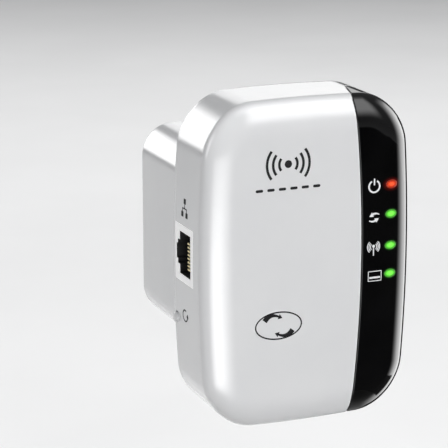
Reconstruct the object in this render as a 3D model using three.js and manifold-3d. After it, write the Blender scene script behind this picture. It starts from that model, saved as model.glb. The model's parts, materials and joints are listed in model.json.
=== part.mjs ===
// A plug-in wireless range extender: a rounded front body with a gloss black indicator
// panel, a network jack in its left side, and a deep plug block behind it.
//
// Frame: millimetres, +X to the object's right as seen from the front, +Y back towards the
// wall outlet, +Z up. The origin is the centre of the face that rests against the outlet.

import * as THREE from "three";
import { mergeVertices } from "three/addons/utils/BufferGeometryUtils.js";
import Module from "manifold-3d";

const wasm = await Module();
wasm.setup();

// ---------------------------------------------------------------- driving dimensions

// Front body. Its depth is counted from the plane where the side walls meet the front.
const BODY_WIDTH = 61.3;
const BODY_HEIGHT = 90;
const CORNER_RADIUS = 14.1;
const SIDE_BOW = 2.2; // how far the sides draw in at the top and bottom
const END_BOW = 1.0; // how far the top and bottom draw in at the sides
const WALL_DEPTH = 18.2; // front edge plane to back face
const CROWN_HEIGHT = 4.5; // the front face stands this far ahead of the edge plane
const CROWN_REACH = 9.5; // width of the rounded stretch round the front
const CROWN_POWER = 2.3; // 2 is a circular round, more is squarer
const SHELL = 2.3; // wall thickness
const PARTING_DEPTH = 16.6; // edge plane to the joint between front and rear covers
const PARTING_GAP = 0.15;
const LIP_DEPTH = 2.2; // the rear cover's lip reaches this far into the front cover
const LIP_THICKNESS = 1.2;
const REAR_CHAMFER = 0.6;

// Plug block behind the body.
const PLUG_WIDTH = 50.6;
const PLUG_HEIGHT = 56.8;
const PLUG_RADIUS = 9.3;
const PLUG_DEPTH = 39.2;
const PLUG_WALL = 2.2;
const PLUG_ROUND = 1.5;
const PLUG_FLOOR = 2.6; // thickness of the face that rests against the outlet
const RIB_HEIGHT = 2; // the rib on the rear cover that centres the block
const RIB_THICKNESS = 1.2;

// Flat two-blade plug.
const BLADE_SPACING = 12.7;
const BLADE_WIDTH = 6.35;
const BLADE_THICKNESS = 1.5;
const BLADE_LENGTH = 16.5;
const HOLDER_WIDTH = 29.4;
const HOLDER_HEIGHT = 21.4;
const HOLDER_THICKNESS = 4.6;
const HOLDER_RADIUS = 3;
const HOLDER_FLANGE = 2.5; // how far its flange stands out
const HOLDER_FLANGE_FRONT = -2.9;
const BLADE_HOLE_HEIGHT = 11.9;
const BLADE_HOLE_RADIUS = 1.6;
const BLADE_TIP_ROUND = 2;
const BLADE_SHOULDER = 1.6; // how far the shoulders inside stand out
const BLADE_SHOULDER_END = 8;
const BLADE_TAB_HALF = 1.4;
const BLADE_TAB_END = 12;

// Indicator panel: a crescent on the right whose border is a shallow arc, slanting on the
// top and bottom walls.
const PANEL_APEX = 15.25; // x of the border at mid height
const PANEL_ARC_RADIUS = 360;
const PANEL_SLANT = 0.3;
const PANEL_SLANT_START = -3;
const PANEL_REAR = 10.2;
const PANEL_THICKNESS = 1.0;
const FIT_GAP = 0.3;
const PART_GAP = 0.25; // round a part that passes through a wall
const REST_GAP = 0.02; // between parts that rest on each other

// Indicator lamps, from the top down.
const LAMP_X = 23.75;
const LAMP_HEIGHTS = [19.8, 11.6, 2.8, -5.1];
const LAMP_NAMES = ["power", "sync", "wireless", "network"];
const LAMP_HALF_WIDTH = 1.65;
const LAMP_HALF_HEIGHT = 1.15;
const LAMP_CHIP = { halfWidth: 1.5, halfHeight: 1.1, height: 1 };
const PIPE_SHOULDER = 0.6;

// Oval push button on the front.
const BUTTON_X = -9.3;
const BUTTON_Z = -16;
const BUTTON_HALF_WIDTH = 7.0;
const BUTTON_HALF_HEIGHT = 4.05;
const BUTTON_GAP = 0.2;
const BUTTON_EDGE = 0.25; // step round the cap's face
const BUTTON_FLANGE = 0.7;
const BUTTON_STEPS = 40;
const BUTTON_TRAVEL = 0.5;
const PLUNGER_RADIUS = 1.6;
const PLUNGER_LENGTH = 1.6;
const PLUNGER_PLAY = 0.1; // air between a cap and the switch plunger it presses

// Reset button in the left side, on the joint between the covers.
const RESET_DEPTH = 15.9;
const RESET_Z = -16.9;
const RESET_RADIUS = 1.4;
const RESET_STAND = 0.95;
const RESET_ARM = { thickness: 1.2, start: 5.2, halfWidth: 1.4 };
const RESET_STOP = { reach: 2.6, halfWidth: 2.2 };
const RESET_SWITCH = { near: -24.4, far: -20.4, height: 5, halfWidth: 3, plungerY: 6.6 };
const RESET_PLUNGER_RADIUS = 1.0;
const RESET_PLUNGER_LENGTH = 2.6;

// Eight-contact network jack in the left side.
const JACK_Z = 2.2;
const JACK_WIDTH = 15.9;
const JACK_FRONT = 3.6;
const JACK_BACK = 16.5;
const JACK_LENGTH = 20.8;
const PORT_WIDTH = 11.8;
const PORT_FRONT = 5.6;
const PORT_BACK = 13.4;
const PORT_DEPTH = 13;
const LATCH_STEPS = [
  { back: 14.9, halfWidth: 3.4 },
  { back: 15.8, halfWidth: 2.1 },
];
const CONTACT_PITCH = 1.02;
const CONTACT_COUNT = 8;
const CONTACT_WIDTH = 0.5;
const CONTACT_THICKNESS = 0.35;

// Main board, just behind the front.
const BOARD_FRONT = 2.3;
const BOARD_THICKNESS = 1.2;
const BOARD_BACK = BOARD_FRONT + BOARD_THICKNESS;
const BOARD_INSET = 3.3;
const ANTENNA = { length: 11, height: 5, foot: 1.6, slotEnd: 3.4, thickness: 0.4, z: 27, x: 5 };
const SOCKET = { x: 8, z: -18, width: 7.5, height: 5, depth: 5, wall: 0.9, floor: 2 };

// Power board, inside the plug block.
const POWER_BOARD_STANDOFF = 3;
const POWER_BOARD_THICKNESS = 1.6;
const POWER_BOARD_WIDTH = 42;
const POWER_BOARD_HEIGHT = 48;
const POWER_POST_X = 17;
const POWER_POST_Z = 19.5;
const TRANSFORMER = { x: 5, y: -26, z: -2 };

// Fasteners.
const COVER_SCREW_X = 17.5;
const COVER_SCREW_Z = 36;
const BOARD_SCREW_Z = 36;
const POWER_SCREWS = [
  [POWER_POST_X, POWER_POST_Z],
  [-POWER_POST_X, -POWER_POST_Z],
];
const COVER_POST_RADIUS = 2.7;
const COVER_POST_BACK = 13.6;
const COVER_PILOT_START = 4;
const COVER_BOSS_RADIUS = 3.6; // round each screw hole inside the rear cover
const SCREW_HOLE = 1.3;
const SCREW_POCKET_RADIUS = 2.6;
const SCREW_POCKET_FLOOR = 16.2;
const BOARD_POST_RADIUS = 2.3;
const BOARD_PILOT_RADIUS = 1.15;
const COVER_SCREW = { headRadius: 2.3, headHeight: 1.5, shankRadius: 1.0, shankLength: 10 };
const BOARD_SCREW = { headRadius: 2.1, headHeight: 1.3, shankRadius: 0.85, shankLength: 4.4 };

const ARC_STEPS = 7;
const SIDE_STEPS = 4;
const ROUND_STEPS = 24;
const HOLE_STEPS = 16;
const OVERCUT = 1; // cutters run at least this far past the faces they open
const FAR_LEFT = -40; // well outside the body
const LEFT_INNER = -20; // well inside the left wall

// ---------------------------------------------------------------- materials

const material = (color, roughness, metalness = 0) =>
  new THREE.MeshStandardMaterial({ color, roughness, metalness });

const WHITE_GLOSS = material(0xf2f3f4, 0.18);
const BLACK_GLOSS = material(0x060607, 0.06);
const BLACK_PLASTIC = material(0x141416, 0.5);
const JACK_PLASTIC = material(0xe6e6e2, 0.4);
const BOARD_GREEN = material(0x1c5a34, 0.5);
const BRASS = material(0xc9a24a, 0.3, 1);
const GOLD = material(0xd9b24c, 0.25, 1);
const STEEL = material(0xa9abad, 0.35, 1);
const COPPER = material(0xb06a34, 0.4, 1);
const FERRITE = material(0x2c2b2c, 0.7);
const CLEAR_GREEN = material(0x6cf25c, 0.2);
const CLEAR_RED = material(0xff4a26, 0.2);
const RED_WIRE = material(0xa81f1c, 0.5);
const BLUE_WIRE = material(0x22408f, 0.5);
const LABEL_PAPER = material(0xc9cbcd, 0.6);

// ---------------------------------------------------------------- geometry helpers

// A closed three.js geometry as a solid that can be joined and cut.
function solid(geometry) {
  const bare = geometry.clone();
  bare.deleteAttribute("normal");
  bare.deleteAttribute("uv");
  const merged = mergeVertices(bare, 1e-4);
  return new wasm.Manifold(
    new wasm.Mesh({
      numProp: 3,
      vertProperties: new Float32Array(merged.attributes.position.array),
      triVerts: new Uint32Array(merged.index.array),
    }),
  );
}

// A solid, or a geometry, as a named mesh.
function piece(name, body, look) {
  let geometry = body;
  if (!body.isBufferGeometry) {
    const made = body.getMesh();
    geometry = new THREE.BufferGeometry();
    geometry.setAttribute("position", new THREE.BufferAttribute(made.vertProperties, 3));
    geometry.setIndex(new THREE.BufferAttribute(made.triVerts, 1));
    geometry.computeVertexNormals();
  }
  const mesh = new THREE.Mesh(geometry, look);
  mesh.name = name;
  return mesh;
}

const join = (first, ...others) => others.reduce((sum, other) => sum.add(other), first);
const cut = (first, ...others) => others.reduce((rest, other) => rest.subtract(other), first);

function box(x0, x1, y0, y1, z0, z1) {
  const geometry = new THREE.BoxGeometry(x1 - x0, y1 - y0, z1 - z0);
  geometry.translate((x0 + x1) / 2, (y0 + y1) / 2, (z0 + z1) / 2);
  return solid(geometry);
}

// A round bar along Y, or along X.
function barY(radius, y0, y1, x = 0, z = 0, steps = ROUND_STEPS) {
  const geometry = new THREE.CylinderGeometry(radius, radius, y1 - y0, steps);
  geometry.translate(x, (y0 + y1) / 2, z);
  return solid(geometry);
}

function barX(radius, x0, x1, y, z, steps = ROUND_STEPS) {
  const geometry = new THREE.CylinderGeometry(radius, radius, x1 - x0, steps);
  geometry.rotateZ(Math.PI / 2);
  geometry.translate((x0 + x1) / 2, y, z);
  return solid(geometry);
}

// An oval bar along Y.
function ovalBar(halfWidth, halfHeight, y0, y1, x, z, steps = ROUND_STEPS) {
  const geometry = new THREE.CylinderGeometry(1, 1, y1 - y0, steps);
  geometry.scale(halfWidth, 1, halfHeight);
  geometry.translate(x, (y0 + y1) / 2, z);
  return solid(geometry);
}

// A closed body through outlines of equal point count, listed from back to front.
function loft(sections) {
  const count = sections[0].points.length;
  const positions = [];
  const triangles = [];
  for (const { y, points } of sections) {
    for (const [x, z] of points) positions.push(x, y, z);
  }
  for (let s = 0; s + 1 < sections.length; s += 1) {
    for (let i = 0; i < count; i += 1) {
      const next = (i + 1) % count;
      const a = s * count + i;
      const b = s * count + next;
      const c = a + count;
      const d = b + count;
      triangles.push(a, b, d, a, d, c);
    }
  }
  const addCap = (start, y, forward) => {
    const xs = positions.filter((_, k) => k % 3 === 0).slice(start, start + count);
    const zs = positions.filter((_, k) => k % 3 === 2).slice(start, start + count);
    const centre = positions.length / 3;
    positions.push(
      (Math.min(...xs) + Math.max(...xs)) / 2,
      y,
      (Math.min(...zs) + Math.max(...zs)) / 2,
    );
    for (let i = 0; i < count; i += 1) {
      const next = (i + 1) % count;
      if (forward) triangles.push(centre, start + i, start + next);
      else triangles.push(centre, start + next, start + i);
    }
  };
  const last = sections.length - 1;
  addCap(0, sections[0].y, false);
  addCap(last * count, sections[last].y, true);
  const geometry = new THREE.BufferGeometry();
  geometry.setAttribute("position", new THREE.Float32BufferAttribute(positions, 3));
  geometry.setIndex(triangles);
  return solid(geometry);
}

const prism = (points, y0, y1) =>
  loft([
    { y: y1, points },
    { y: y0, points },
  ]);

// Outline of a rounded rectangle, anticlockwise as seen from the front.
function roundedRectangle(halfWidth, halfHeight, radius, sideSteps = 1) {
  const points = [];
  const corners = [
    [1, 1],
    [-1, 1],
    [-1, -1],
    [1, -1],
  ];
  corners.forEach(([signX, signZ], k) => {
    const centreX = signX * (halfWidth - radius);
    const centreZ = signZ * (halfHeight - radius);
    for (let i = 0; i <= ARC_STEPS; i += 1) {
      const angle = ((k + i / ARC_STEPS) * Math.PI) / 2;
      points.push([centreX + radius * Math.cos(angle), centreZ + radius * Math.sin(angle)]);
    }
    const [fromX, fromZ] = points[points.length - 1];
    const [nextX, nextZ] = corners[(k + 1) % 4];
    const turn = ((k + 1) * Math.PI) / 2;
    const toX = nextX * (halfWidth - radius) + radius * Math.cos(turn);
    const toZ = nextZ * (halfHeight - radius) + radius * Math.sin(turn);
    for (let i = 1; i < sideSteps; i += 1) {
      const share = i / sideSteps;
      points.push([fromX + share * (toX - fromX), fromZ + share * (toZ - fromZ)]);
    }
  });
  return points;
}

// The body's outline, inset by a distance, with its bowed sides and ends.
function bodyOutline(inset) {
  const halfWidth = BODY_WIDTH / 2;
  const halfHeight = BODY_HEIGHT / 2;
  const radius = Math.max(CORNER_RADIUS - inset, 2);
  const flat = roundedRectangle(halfWidth - inset, halfHeight - inset, radius, SIDE_STEPS);
  return flat.map(([x, z]) => [
    x * (1 - (SIDE_BOW / halfWidth) * (z / halfHeight) ** 2),
    z * (1 - (END_BOW / halfHeight) * (x / halfWidth) ** 2),
  ]);
}

// The body's whole outer form, inset by a distance, from a depth to the crowned front.
function bodyForm(inset, back) {
  const reach = CROWN_REACH - inset / 2;
  const height = CROWN_HEIGHT - inset;
  const sections = [{ y: back, points: bodyOutline(inset) }];
  for (const share of [0, 0.03, 0.11, 0.25, 0.47, 0.72, 1]) {
    const rise = (1 - (1 - share) ** CROWN_POWER) ** (1 / CROWN_POWER);
    sections.push({ y: -height * rise, points: bodyOutline(inset + reach * share) });
  }
  return loft(sections);
}

// Everything to the right of the panel's border, which is moved left by a margin.
function panelRegion(margin, back) {
  const top = BODY_HEIGHT / 2 + 5;
  const steps = 12;
  const border = [];
  for (let i = 0; i <= steps; i += 1) {
    const z = top - (2 * top * i) / steps;
    border.push([PANEL_APEX - margin - z ** 2 / (2 * PANEL_ARC_RADIUS), z]);
  }
  const far = BODY_WIDTH / 2 + 10;
  const section = (y, shift) => ({
    y,
    points: [...border.map(([x, z]) => [x + shift, z]), [far, -top], [far, top]],
  });
  return loft([
    section(back, PANEL_SLANT * (back - PANEL_SLANT_START)),
    section(PANEL_SLANT_START, 0),
    section(-CROWN_HEIGHT - 5, 0),
  ]);
}

// The outer wall's x at a height, on the left side.
const leftWallAt = (z) => -BODY_WIDTH / 2 + SIDE_BOW * (z / (BODY_HEIGHT / 2)) ** 2;

// A pan-head screw along Y, its head towards +Y and its seat at y = 0.
function screw({ headRadius, headHeight, shankRadius, shankLength }) {
  const profile = [
    [0, -shankLength],
    [shankRadius * 0.5, -shankLength],
    [shankRadius, -shankLength + shankRadius],
    [shankRadius, 0],
    [headRadius, 0],
    [headRadius, headHeight * 0.5],
    [headRadius * 0.72, headHeight],
    [0, headHeight],
  ];
  const turned = solid(
    new THREE.LatheGeometry(
      profile.map(([r, y]) => new THREE.Vector2(r, y)),
      HOLE_STEPS,
    ),
  );
  const arm = headRadius * 0.6;
  const slot = headRadius * 0.14;
  return cut(
    turned,
    box(-arm, arm, headHeight * 0.4, headHeight + OVERCUT, -slot, slot),
    box(-slot, slot, headHeight * 0.4, headHeight + OVERCUT, -arm, arm),
  );
}

// A round lead along a smooth route.
function lead(radius, route) {
  const curve = new THREE.CatmullRomCurve3(route.map((p) => new THREE.Vector3(...p)));
  const section = new THREE.Shape();
  section.absarc(0, 0, radius, 0, 2 * Math.PI);
  return new THREE.ExtrudeGeometry(section, {
    steps: 12,
    curveSegments: 4,
    bevelEnabled: false,
    extrudePath: curve,
  });
}

// ---------------------------------------------------------------- front body

function frontCover() {
  const open = PARTING_DEPTH;
  const outer = bodyForm(0, open);
  const under = bodyForm(PANEL_THICKNESS + FIT_GAP, open);
  const recess = panelRegion(FIT_GAP, PANEL_REAR + FIT_GAP).subtract(under);
  const hollow = bodyForm(SHELL, open + OVERCUT);
  let cover = cut(outer, recess, hollow);

  // Screw posts for the rear cover, and two short ones that carry the main board.
  const roof = -CROWN_HEIGHT + SHELL - 0.2;
  const boardPilotStart = roof + 0.8;
  for (const x of [-COVER_SCREW_X, COVER_SCREW_X]) {
    for (const z of [-COVER_SCREW_Z, COVER_SCREW_Z]) {
      cover = cover.add(barY(COVER_POST_RADIUS, roof, COVER_POST_BACK, x, z));
      cover = cover.subtract(
        barY(SCREW_HOLE, COVER_PILOT_START, COVER_POST_BACK + OVERCUT, x, z, HOLE_STEPS),
      );
    }
  }
  for (const z of [-BOARD_SCREW_Z, BOARD_SCREW_Z]) {
    cover = cover.add(barY(BOARD_POST_RADIUS, roof, BOARD_FRONT, 0, z));
    cover = cover.subtract(
      barY(BOARD_PILOT_RADIUS, boardPilotStart, BOARD_FRONT + OVERCUT, 0, z, HOLE_STEPS),
    );
  }

  // Openings: the oval button, the four lamps, the jack and the reset button.
  const front = -CROWN_HEIGHT - OVERCUT;
  cover = cover.subtract(
    ovalBar(
      BUTTON_HALF_WIDTH + BUTTON_GAP,
      BUTTON_HALF_HEIGHT + BUTTON_GAP,
      front,
      0,
      BUTTON_X,
      BUTTON_Z,
      BUTTON_STEPS,
    ),
  );
  for (const z of LAMP_HEIGHTS) {
    cover = cover.subtract(
      ovalBar(LAMP_HALF_WIDTH + PART_GAP, LAMP_HALF_HEIGHT + PART_GAP, front, 0, LAMP_X, z),
    );
  }
  const halfJack = JACK_WIDTH / 2 + PART_GAP;
  const jackTop = JACK_FRONT - PART_GAP;
  return cut(
    cover,
    box(FAR_LEFT, LEFT_INNER, jackTop, open + OVERCUT, JACK_Z - halfJack, JACK_Z + halfJack),
    barX(RESET_RADIUS + PART_GAP, FAR_LEFT, LEFT_INNER, RESET_DEPTH, RESET_Z),
  );
}

function indicatorPanel() {
  const under = bodyForm(PANEL_THICKNESS, PARTING_DEPTH + OVERCUT);
  const skin = bodyForm(0, PARTING_DEPTH).subtract(under);
  const panel = skin.intersect(panelRegion(0, PANEL_REAR));
  const halfWidth = LAMP_HALF_WIDTH + BUTTON_GAP;
  const halfHeight = LAMP_HALF_HEIGHT + BUTTON_GAP;
  const holes = LAMP_HEIGHTS.map((z) =>
    ovalBar(halfWidth, halfHeight, -CROWN_HEIGHT - OVERCUT, 0, LAMP_X, z),
  );
  return cut(panel, ...holes);
}

// A light pipe from the lamp up to the panel's surface, with a shoulder behind the wall.
function lightPipe(z) {
  const back = BOARD_FRONT - LAMP_CHIP.height - 0.2;
  const under = -CROWN_HEIGHT + SHELL;
  const pipe = ovalBar(
    LAMP_HALF_WIDTH,
    LAMP_HALF_HEIGHT,
    -CROWN_HEIGHT - OVERCUT,
    back,
    LAMP_X,
    z,
  );
  const shoulder = ovalBar(
    LAMP_HALF_WIDTH + PIPE_SHOULDER,
    LAMP_HALF_HEIGHT + PIPE_SHOULDER,
    under + 0.8,
    under + 1.5,
    LAMP_X,
    z,
  );
  return pipe.add(shoulder).intersect(bodyForm(REST_GAP, PARTING_DEPTH));
}

function frontButton() {
  const front = -CROWN_HEIGHT;
  const back = front + SHELL + BUTTON_GAP;
  const cap = ovalBar(
    BUTTON_HALF_WIDTH,
    BUTTON_HALF_HEIGHT,
    front + BUTTON_EDGE,
    back,
    BUTTON_X,
    BUTTON_Z,
    BUTTON_STEPS,
  );
  const face = ovalBar(
    BUTTON_HALF_WIDTH - BUTTON_EDGE,
    BUTTON_HALF_HEIGHT - BUTTON_EDGE,
    front,
    front + BUTTON_EDGE + 0.1,
    BUTTON_X,
    BUTTON_Z,
    BUTTON_STEPS,
  );
  const flange = ovalBar(
    BUTTON_HALF_WIDTH + 1,
    BUTTON_HALF_HEIGHT + 1,
    back,
    back + BUTTON_FLANGE,
    BUTTON_X,
    BUTTON_Z,
    BUTTON_STEPS,
  );
  return join(cap, face, flange);
}

// The reset button: a nub through the wall, with an arm inside that reaches the switch.
function resetButton() {
  const wall = leftWallAt(RESET_Z);
  const near = wall + SHELL + FIT_GAP;
  const far = near + RESET_ARM.thickness;
  const back = RESET_DEPTH + RESET_RADIUS;
  const plate = (front, half) => box(near, far, front, back, RESET_Z - half, RESET_Z + half);
  return join(
    barX(RESET_RADIUS, wall - RESET_STAND, near + 0.4, RESET_DEPTH, RESET_Z),
    plate(RESET_ARM.start, RESET_ARM.halfWidth),
    plate(RESET_DEPTH - RESET_STOP.reach, RESET_STOP.halfWidth),
  );
}

// A press switch: a square body with a well for its plunger.
function frontSwitch() {
  const half = 3;
  const face = -0.3;
  return cut(
    box(BUTTON_X - half, BUTTON_X + half, face, BOARD_FRONT, BUTTON_Z - half, BUTTON_Z + half),
    barY(PLUNGER_RADIUS + FIT_GAP, face - OVERCUT, face + PLUNGER_LENGTH, BUTTON_X, BUTTON_Z),
  );
}

function frontSwitchPlunger() {
  const top = -CROWN_HEIGHT + SHELL + BUTTON_GAP + BUTTON_FLANGE + PLUNGER_PLAY;
  return barY(PLUNGER_RADIUS, top, top + PLUNGER_LENGTH, BUTTON_X, BUTTON_Z);
}

function resetSwitch() {
  const { near, far, height, halfWidth, plungerY } = RESET_SWITCH;
  const well = RESET_PLUNGER_RADIUS + FIT_GAP;
  return cut(
    box(near, far, BOARD_BACK, BOARD_BACK + height, RESET_Z - halfWidth, RESET_Z + halfWidth),
    barX(well, near - OVERCUT, (near + far) / 2, plungerY, RESET_Z),
  );
}

function resetSwitchPlunger() {
  const start = leftWallAt(RESET_Z) + SHELL + FIT_GAP + RESET_ARM.thickness + PLUNGER_PLAY;
  const end = start + RESET_PLUNGER_LENGTH;
  return barX(RESET_PLUNGER_RADIUS, start, end, RESET_SWITCH.plungerY, RESET_Z, HOLE_STEPS);
}

// ---------------------------------------------------------------- network jack

function jackHousing() {
  const left = leftWallAt(JACK_Z) + 0.05;
  const half = JACK_WIDTH / 2;
  const block = box(left, left + JACK_LENGTH, JACK_FRONT, JACK_BACK, JACK_Z - half, JACK_Z + half);
  const hollow = (front, back, halfWidth) =>
    box(left - OVERCUT, left + PORT_DEPTH, front, back, JACK_Z - halfWidth, JACK_Z + halfWidth);
  // Two steps for the plug's latch, on the side away from the contacts.
  const latch = LATCH_STEPS.map(({ back, halfWidth }) =>
    hollow(PORT_BACK - OVERCUT, back, halfWidth),
  );
  return cut(block, hollow(PORT_FRONT, PORT_BACK, PORT_WIDTH / 2), ...latch);
}

// A spring contact: a flat wire whose foot lies along the port's front wall, which turns back
// at the port's mouth and then slopes into the port. Depths are counted from the left wall.
function jackContact(index) {
  const left = leftWallAt(JACK_Z);
  const z = JACK_Z + (index - (CONTACT_COUNT - 1) / 2) * CONTACT_PITCH;
  const t = CONTACT_THICKNESS;
  const foot = PORT_FRONT + 0.2;
  const mouth = 0.25;
  const footEnd = 3.2;
  const crest = 8.35;
  const tip = { depth: 10.4, y: 9.05 };
  const bend = 0.3; // chamfer of the wire's outer corners at the mouth
  const side = [
    [footEnd, foot],
    [mouth + bend, foot],
    [mouth, foot + bend],
    [mouth, crest - bend],
    [mouth + bend, crest],
    [tip.depth, tip.y],
    [tip.depth + 0.8, tip.y - 0.2],
    [tip.depth + 0.7, tip.y - 0.2 - t],
    [tip.depth, tip.y - t],
    [mouth + t, crest - t],
    [mouth + t, foot + t],
    [footEnd, foot + t],
  ];
  const shape = new THREE.Shape(side.map(([depth, y]) => new THREE.Vector2(left + depth, y)));
  const geometry = new THREE.ExtrudeGeometry(shape, { depth: CONTACT_WIDTH, bevelEnabled: false });
  geometry.translate(0, 0, z - CONTACT_WIDTH / 2);
  return geometry;
}

// ---------------------------------------------------------------- main board

function mainBoard() {
  const front = BOARD_FRONT - OVERCUT;
  const back = BOARD_BACK + OVERCUT;
  let board = prism(bodyOutline(BOARD_INSET), BOARD_FRONT, BOARD_BACK);
  for (const x of [-COVER_SCREW_X, COVER_SCREW_X]) {
    for (const z of [-COVER_SCREW_Z, COVER_SCREW_Z]) {
      const hole = barY(COVER_POST_RADIUS + 0.4, front, back, x, z);
      board = board.subtract(hole);
    }
  }
  for (const z of [-BOARD_SCREW_Z, BOARD_SCREW_Z]) {
    board = board.subtract(barY(SCREW_HOLE, front, back, 0, z, HOLE_STEPS));
  }
  return board;
}

// A flat part on the back of the main board, by centre and size.
const boardPart = (x, z, width, height, thickness) =>
  box(
    x - width / 2,
    x + width / 2,
    BOARD_BACK,
    BOARD_BACK + thickness,
    z - height / 2,
    z + height / 2,
  );

function lampChip(z) {
  const { halfWidth, halfHeight, height } = LAMP_CHIP;
  const front = BOARD_FRONT - height;
  return box(
    LAMP_X - halfWidth,
    LAMP_X + halfWidth,
    front,
    BOARD_FRONT,
    z - halfHeight,
    z + halfHeight,
  );
}

// A stamped F-shaped antenna standing on the back of the main board.
function antenna(direction) {
  const { length, height, foot, slotEnd, thickness, z, x } = ANTENNA;
  const side = [
    [0, 0],
    [length, 0],
    [length, foot],
    [foot, foot],
    [foot, slotEnd],
    [length, slotEnd],
    [length, height],
    [0, height],
  ];
  const shape = new THREE.Shape(side.map(([u, v]) => new THREE.Vector2(u * direction, v)));
  const geometry = new THREE.ExtrudeGeometry(shape, { depth: thickness, bevelEnabled: false });
  geometry.rotateX(Math.PI / 2);
  geometry.translate(direction * x, BOARD_BACK + thickness, z);
  return geometry;
}

function powerSocket() {
  const { x, z, width, height, depth, wall, floor } = SOCKET;
  const halfWidth = width / 2 - wall;
  const halfHeight = height / 2 - wall;
  const low = BOARD_BACK + floor;
  const high = BOARD_BACK + depth + OVERCUT;
  return cut(
    boardPart(x, z, width, height, depth),
    box(x - halfWidth, x + halfWidth, low, high, z - halfHeight, z + halfHeight),
  );
}

// ---------------------------------------------------------------- rear cover

function rearCover() {
  const front = PARTING_DEPTH + PARTING_GAP;
  const plate = loft([
    { y: WALL_DEPTH, points: bodyOutline(REAR_CHAMFER) },
    { y: WALL_DEPTH - REAR_CHAMFER, points: bodyOutline(0) },
    { y: front, points: bodyOutline(0) },
  ]);
  const lip = cut(
    prism(bodyOutline(SHELL + FIT_GAP), front - LIP_DEPTH, front + 0.2),
    prism(bodyOutline(SHELL + FIT_GAP + LIP_THICKNESS), front - LIP_DEPTH - OVERCUT, front),
  );
  const halfJack = JACK_WIDTH / 2 + FIT_GAP;
  const halfStop = RESET_STOP.halfWidth + FIT_GAP;
  const lipGaps = [
    box(FAR_LEFT, LEFT_INNER, 0, front, JACK_Z - halfJack, JACK_Z + halfJack),
    box(FAR_LEFT, LEFT_INNER, 0, front, RESET_Z - halfStop, RESET_Z + halfStop),
  ];
  let cover = plate.add(cut(lip, ...lipGaps));

  // Pockets that sink the screw heads, the reset button's way, and the wire window.
  const bossFront = COVER_POST_BACK + FIT_GAP;
  for (const x of [-COVER_SCREW_X, COVER_SCREW_X]) {
    for (const z of [-COVER_SCREW_Z, COVER_SCREW_Z]) {
      cover = cover.add(barY(COVER_BOSS_RADIUS, bossFront, WALL_DEPTH - 0.4, x, z));
      cover = cut(
        cover,
        barY(SCREW_HOLE, bossFront - OVERCUT, WALL_DEPTH + OVERCUT, x, z, HOLE_STEPS),
        barY(SCREW_POCKET_RADIUS, SCREW_POCKET_FLOOR, WALL_DEPTH + OVERCUT, x, z),
      );
    }
  }
  const armNear = leftWallAt(RESET_Z) + SHELL + FIT_GAP - PART_GAP;
  const armFar = armNear + RESET_ARM.thickness + BUTTON_TRAVEL + 2 * PART_GAP;
  const armBack = RESET_DEPTH + RESET_RADIUS + PART_GAP;
  cover = cut(
    cover,
    barX(RESET_RADIUS + PART_GAP, FAR_LEFT, armFar, RESET_DEPTH, RESET_Z),
    box(armNear, armFar, 10, armBack, RESET_Z - halfStop, RESET_Z + halfStop),
    box(SOCKET.x - 7, SOCKET.x + 7, 10, WALL_DEPTH + OVERCUT, SOCKET.z - 5, SOCKET.z + 5),
  );

  // A rib that centres the plug block, and the power board's four posts.
  const ribOutline = (inset) =>
    roundedRectangle(PLUG_WIDTH / 2 - inset, PLUG_HEIGHT / 2 - inset, PLUG_RADIUS - inset);
  const ribInset = PLUG_WALL + FIT_GAP;
  const ribTop = WALL_DEPTH + RIB_HEIGHT;
  const rib = cut(
    prism(ribOutline(ribInset), WALL_DEPTH - 0.2, ribTop),
    prism(ribOutline(ribInset + RIB_THICKNESS), WALL_DEPTH - OVERCUT, ribTop + OVERCUT),
  );
  cover = cover.add(rib);
  const seat = WALL_DEPTH + POWER_BOARD_STANDOFF;
  for (const x of [-POWER_POST_X, POWER_POST_X]) {
    for (const z of [-POWER_POST_Z, POWER_POST_Z]) {
      cover = cover.add(barY(BOARD_POST_RADIUS, WALL_DEPTH - 0.2, seat, x, z));
    }
  }
  for (const [x, z] of POWER_SCREWS) {
    cover = cover.subtract(
      barY(BOARD_PILOT_RADIUS, WALL_DEPTH - 0.6, seat + OVERCUT, x, z, HOLE_STEPS),
    );
  }
  return cover;
}

// ---------------------------------------------------------------- plug block

function plugHousing() {
  const halfWidth = PLUG_WIDTH / 2;
  const halfHeight = PLUG_HEIGHT / 2;
  const section = (y, inset) => ({
    y,
    points: roundedRectangle(halfWidth - inset, halfHeight - inset, PLUG_RADIUS - inset),
  });
  const outer = loft([
    section(0, PLUG_ROUND),
    section(-0.3 * PLUG_ROUND, 0.3 * PLUG_ROUND),
    section(-PLUG_ROUND, 0),
    section(-PLUG_DEPTH + 0.05, 0),
  ]);
  const hollow = loft([section(-PLUG_FLOOR, PLUG_WALL), section(-PLUG_DEPTH - 1, PLUG_WALL)]);
  const window = prism(
    roundedRectangle(
      HOLDER_WIDTH / 2 + FIT_GAP,
      HOLDER_HEIGHT / 2 + FIT_GAP,
      HOLDER_RADIUS + FIT_GAP,
    ),
    -PLUG_FLOOR - OVERCUT,
    OVERCUT,
  );
  return cut(outer, hollow, window);
}

function bladeHolder() {
  const outline = (margin) =>
    roundedRectangle(HOLDER_WIDTH / 2 + margin, HOLDER_HEIGHT / 2 + margin, HOLDER_RADIUS);
  const plug = prism(outline(0), -HOLDER_THICKNESS + 0.6, 0);
  const flange = prism(outline(HOLDER_FLANGE), -HOLDER_THICKNESS, HOLDER_FLANGE_FRONT);
  const slots = [-1, 1].map((side) => {
    const x = (side * BLADE_SPACING) / 2;
    const halfX = BLADE_THICKNESS / 2 + PART_GAP;
    const halfZ = BLADE_WIDTH / 2 + PART_GAP;
    return box(x - halfX, x + halfX, -HOLDER_THICKNESS - OVERCUT, OVERCUT, -halfZ, halfZ);
  });
  return cut(plug.add(flange), ...slots);
}

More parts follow.
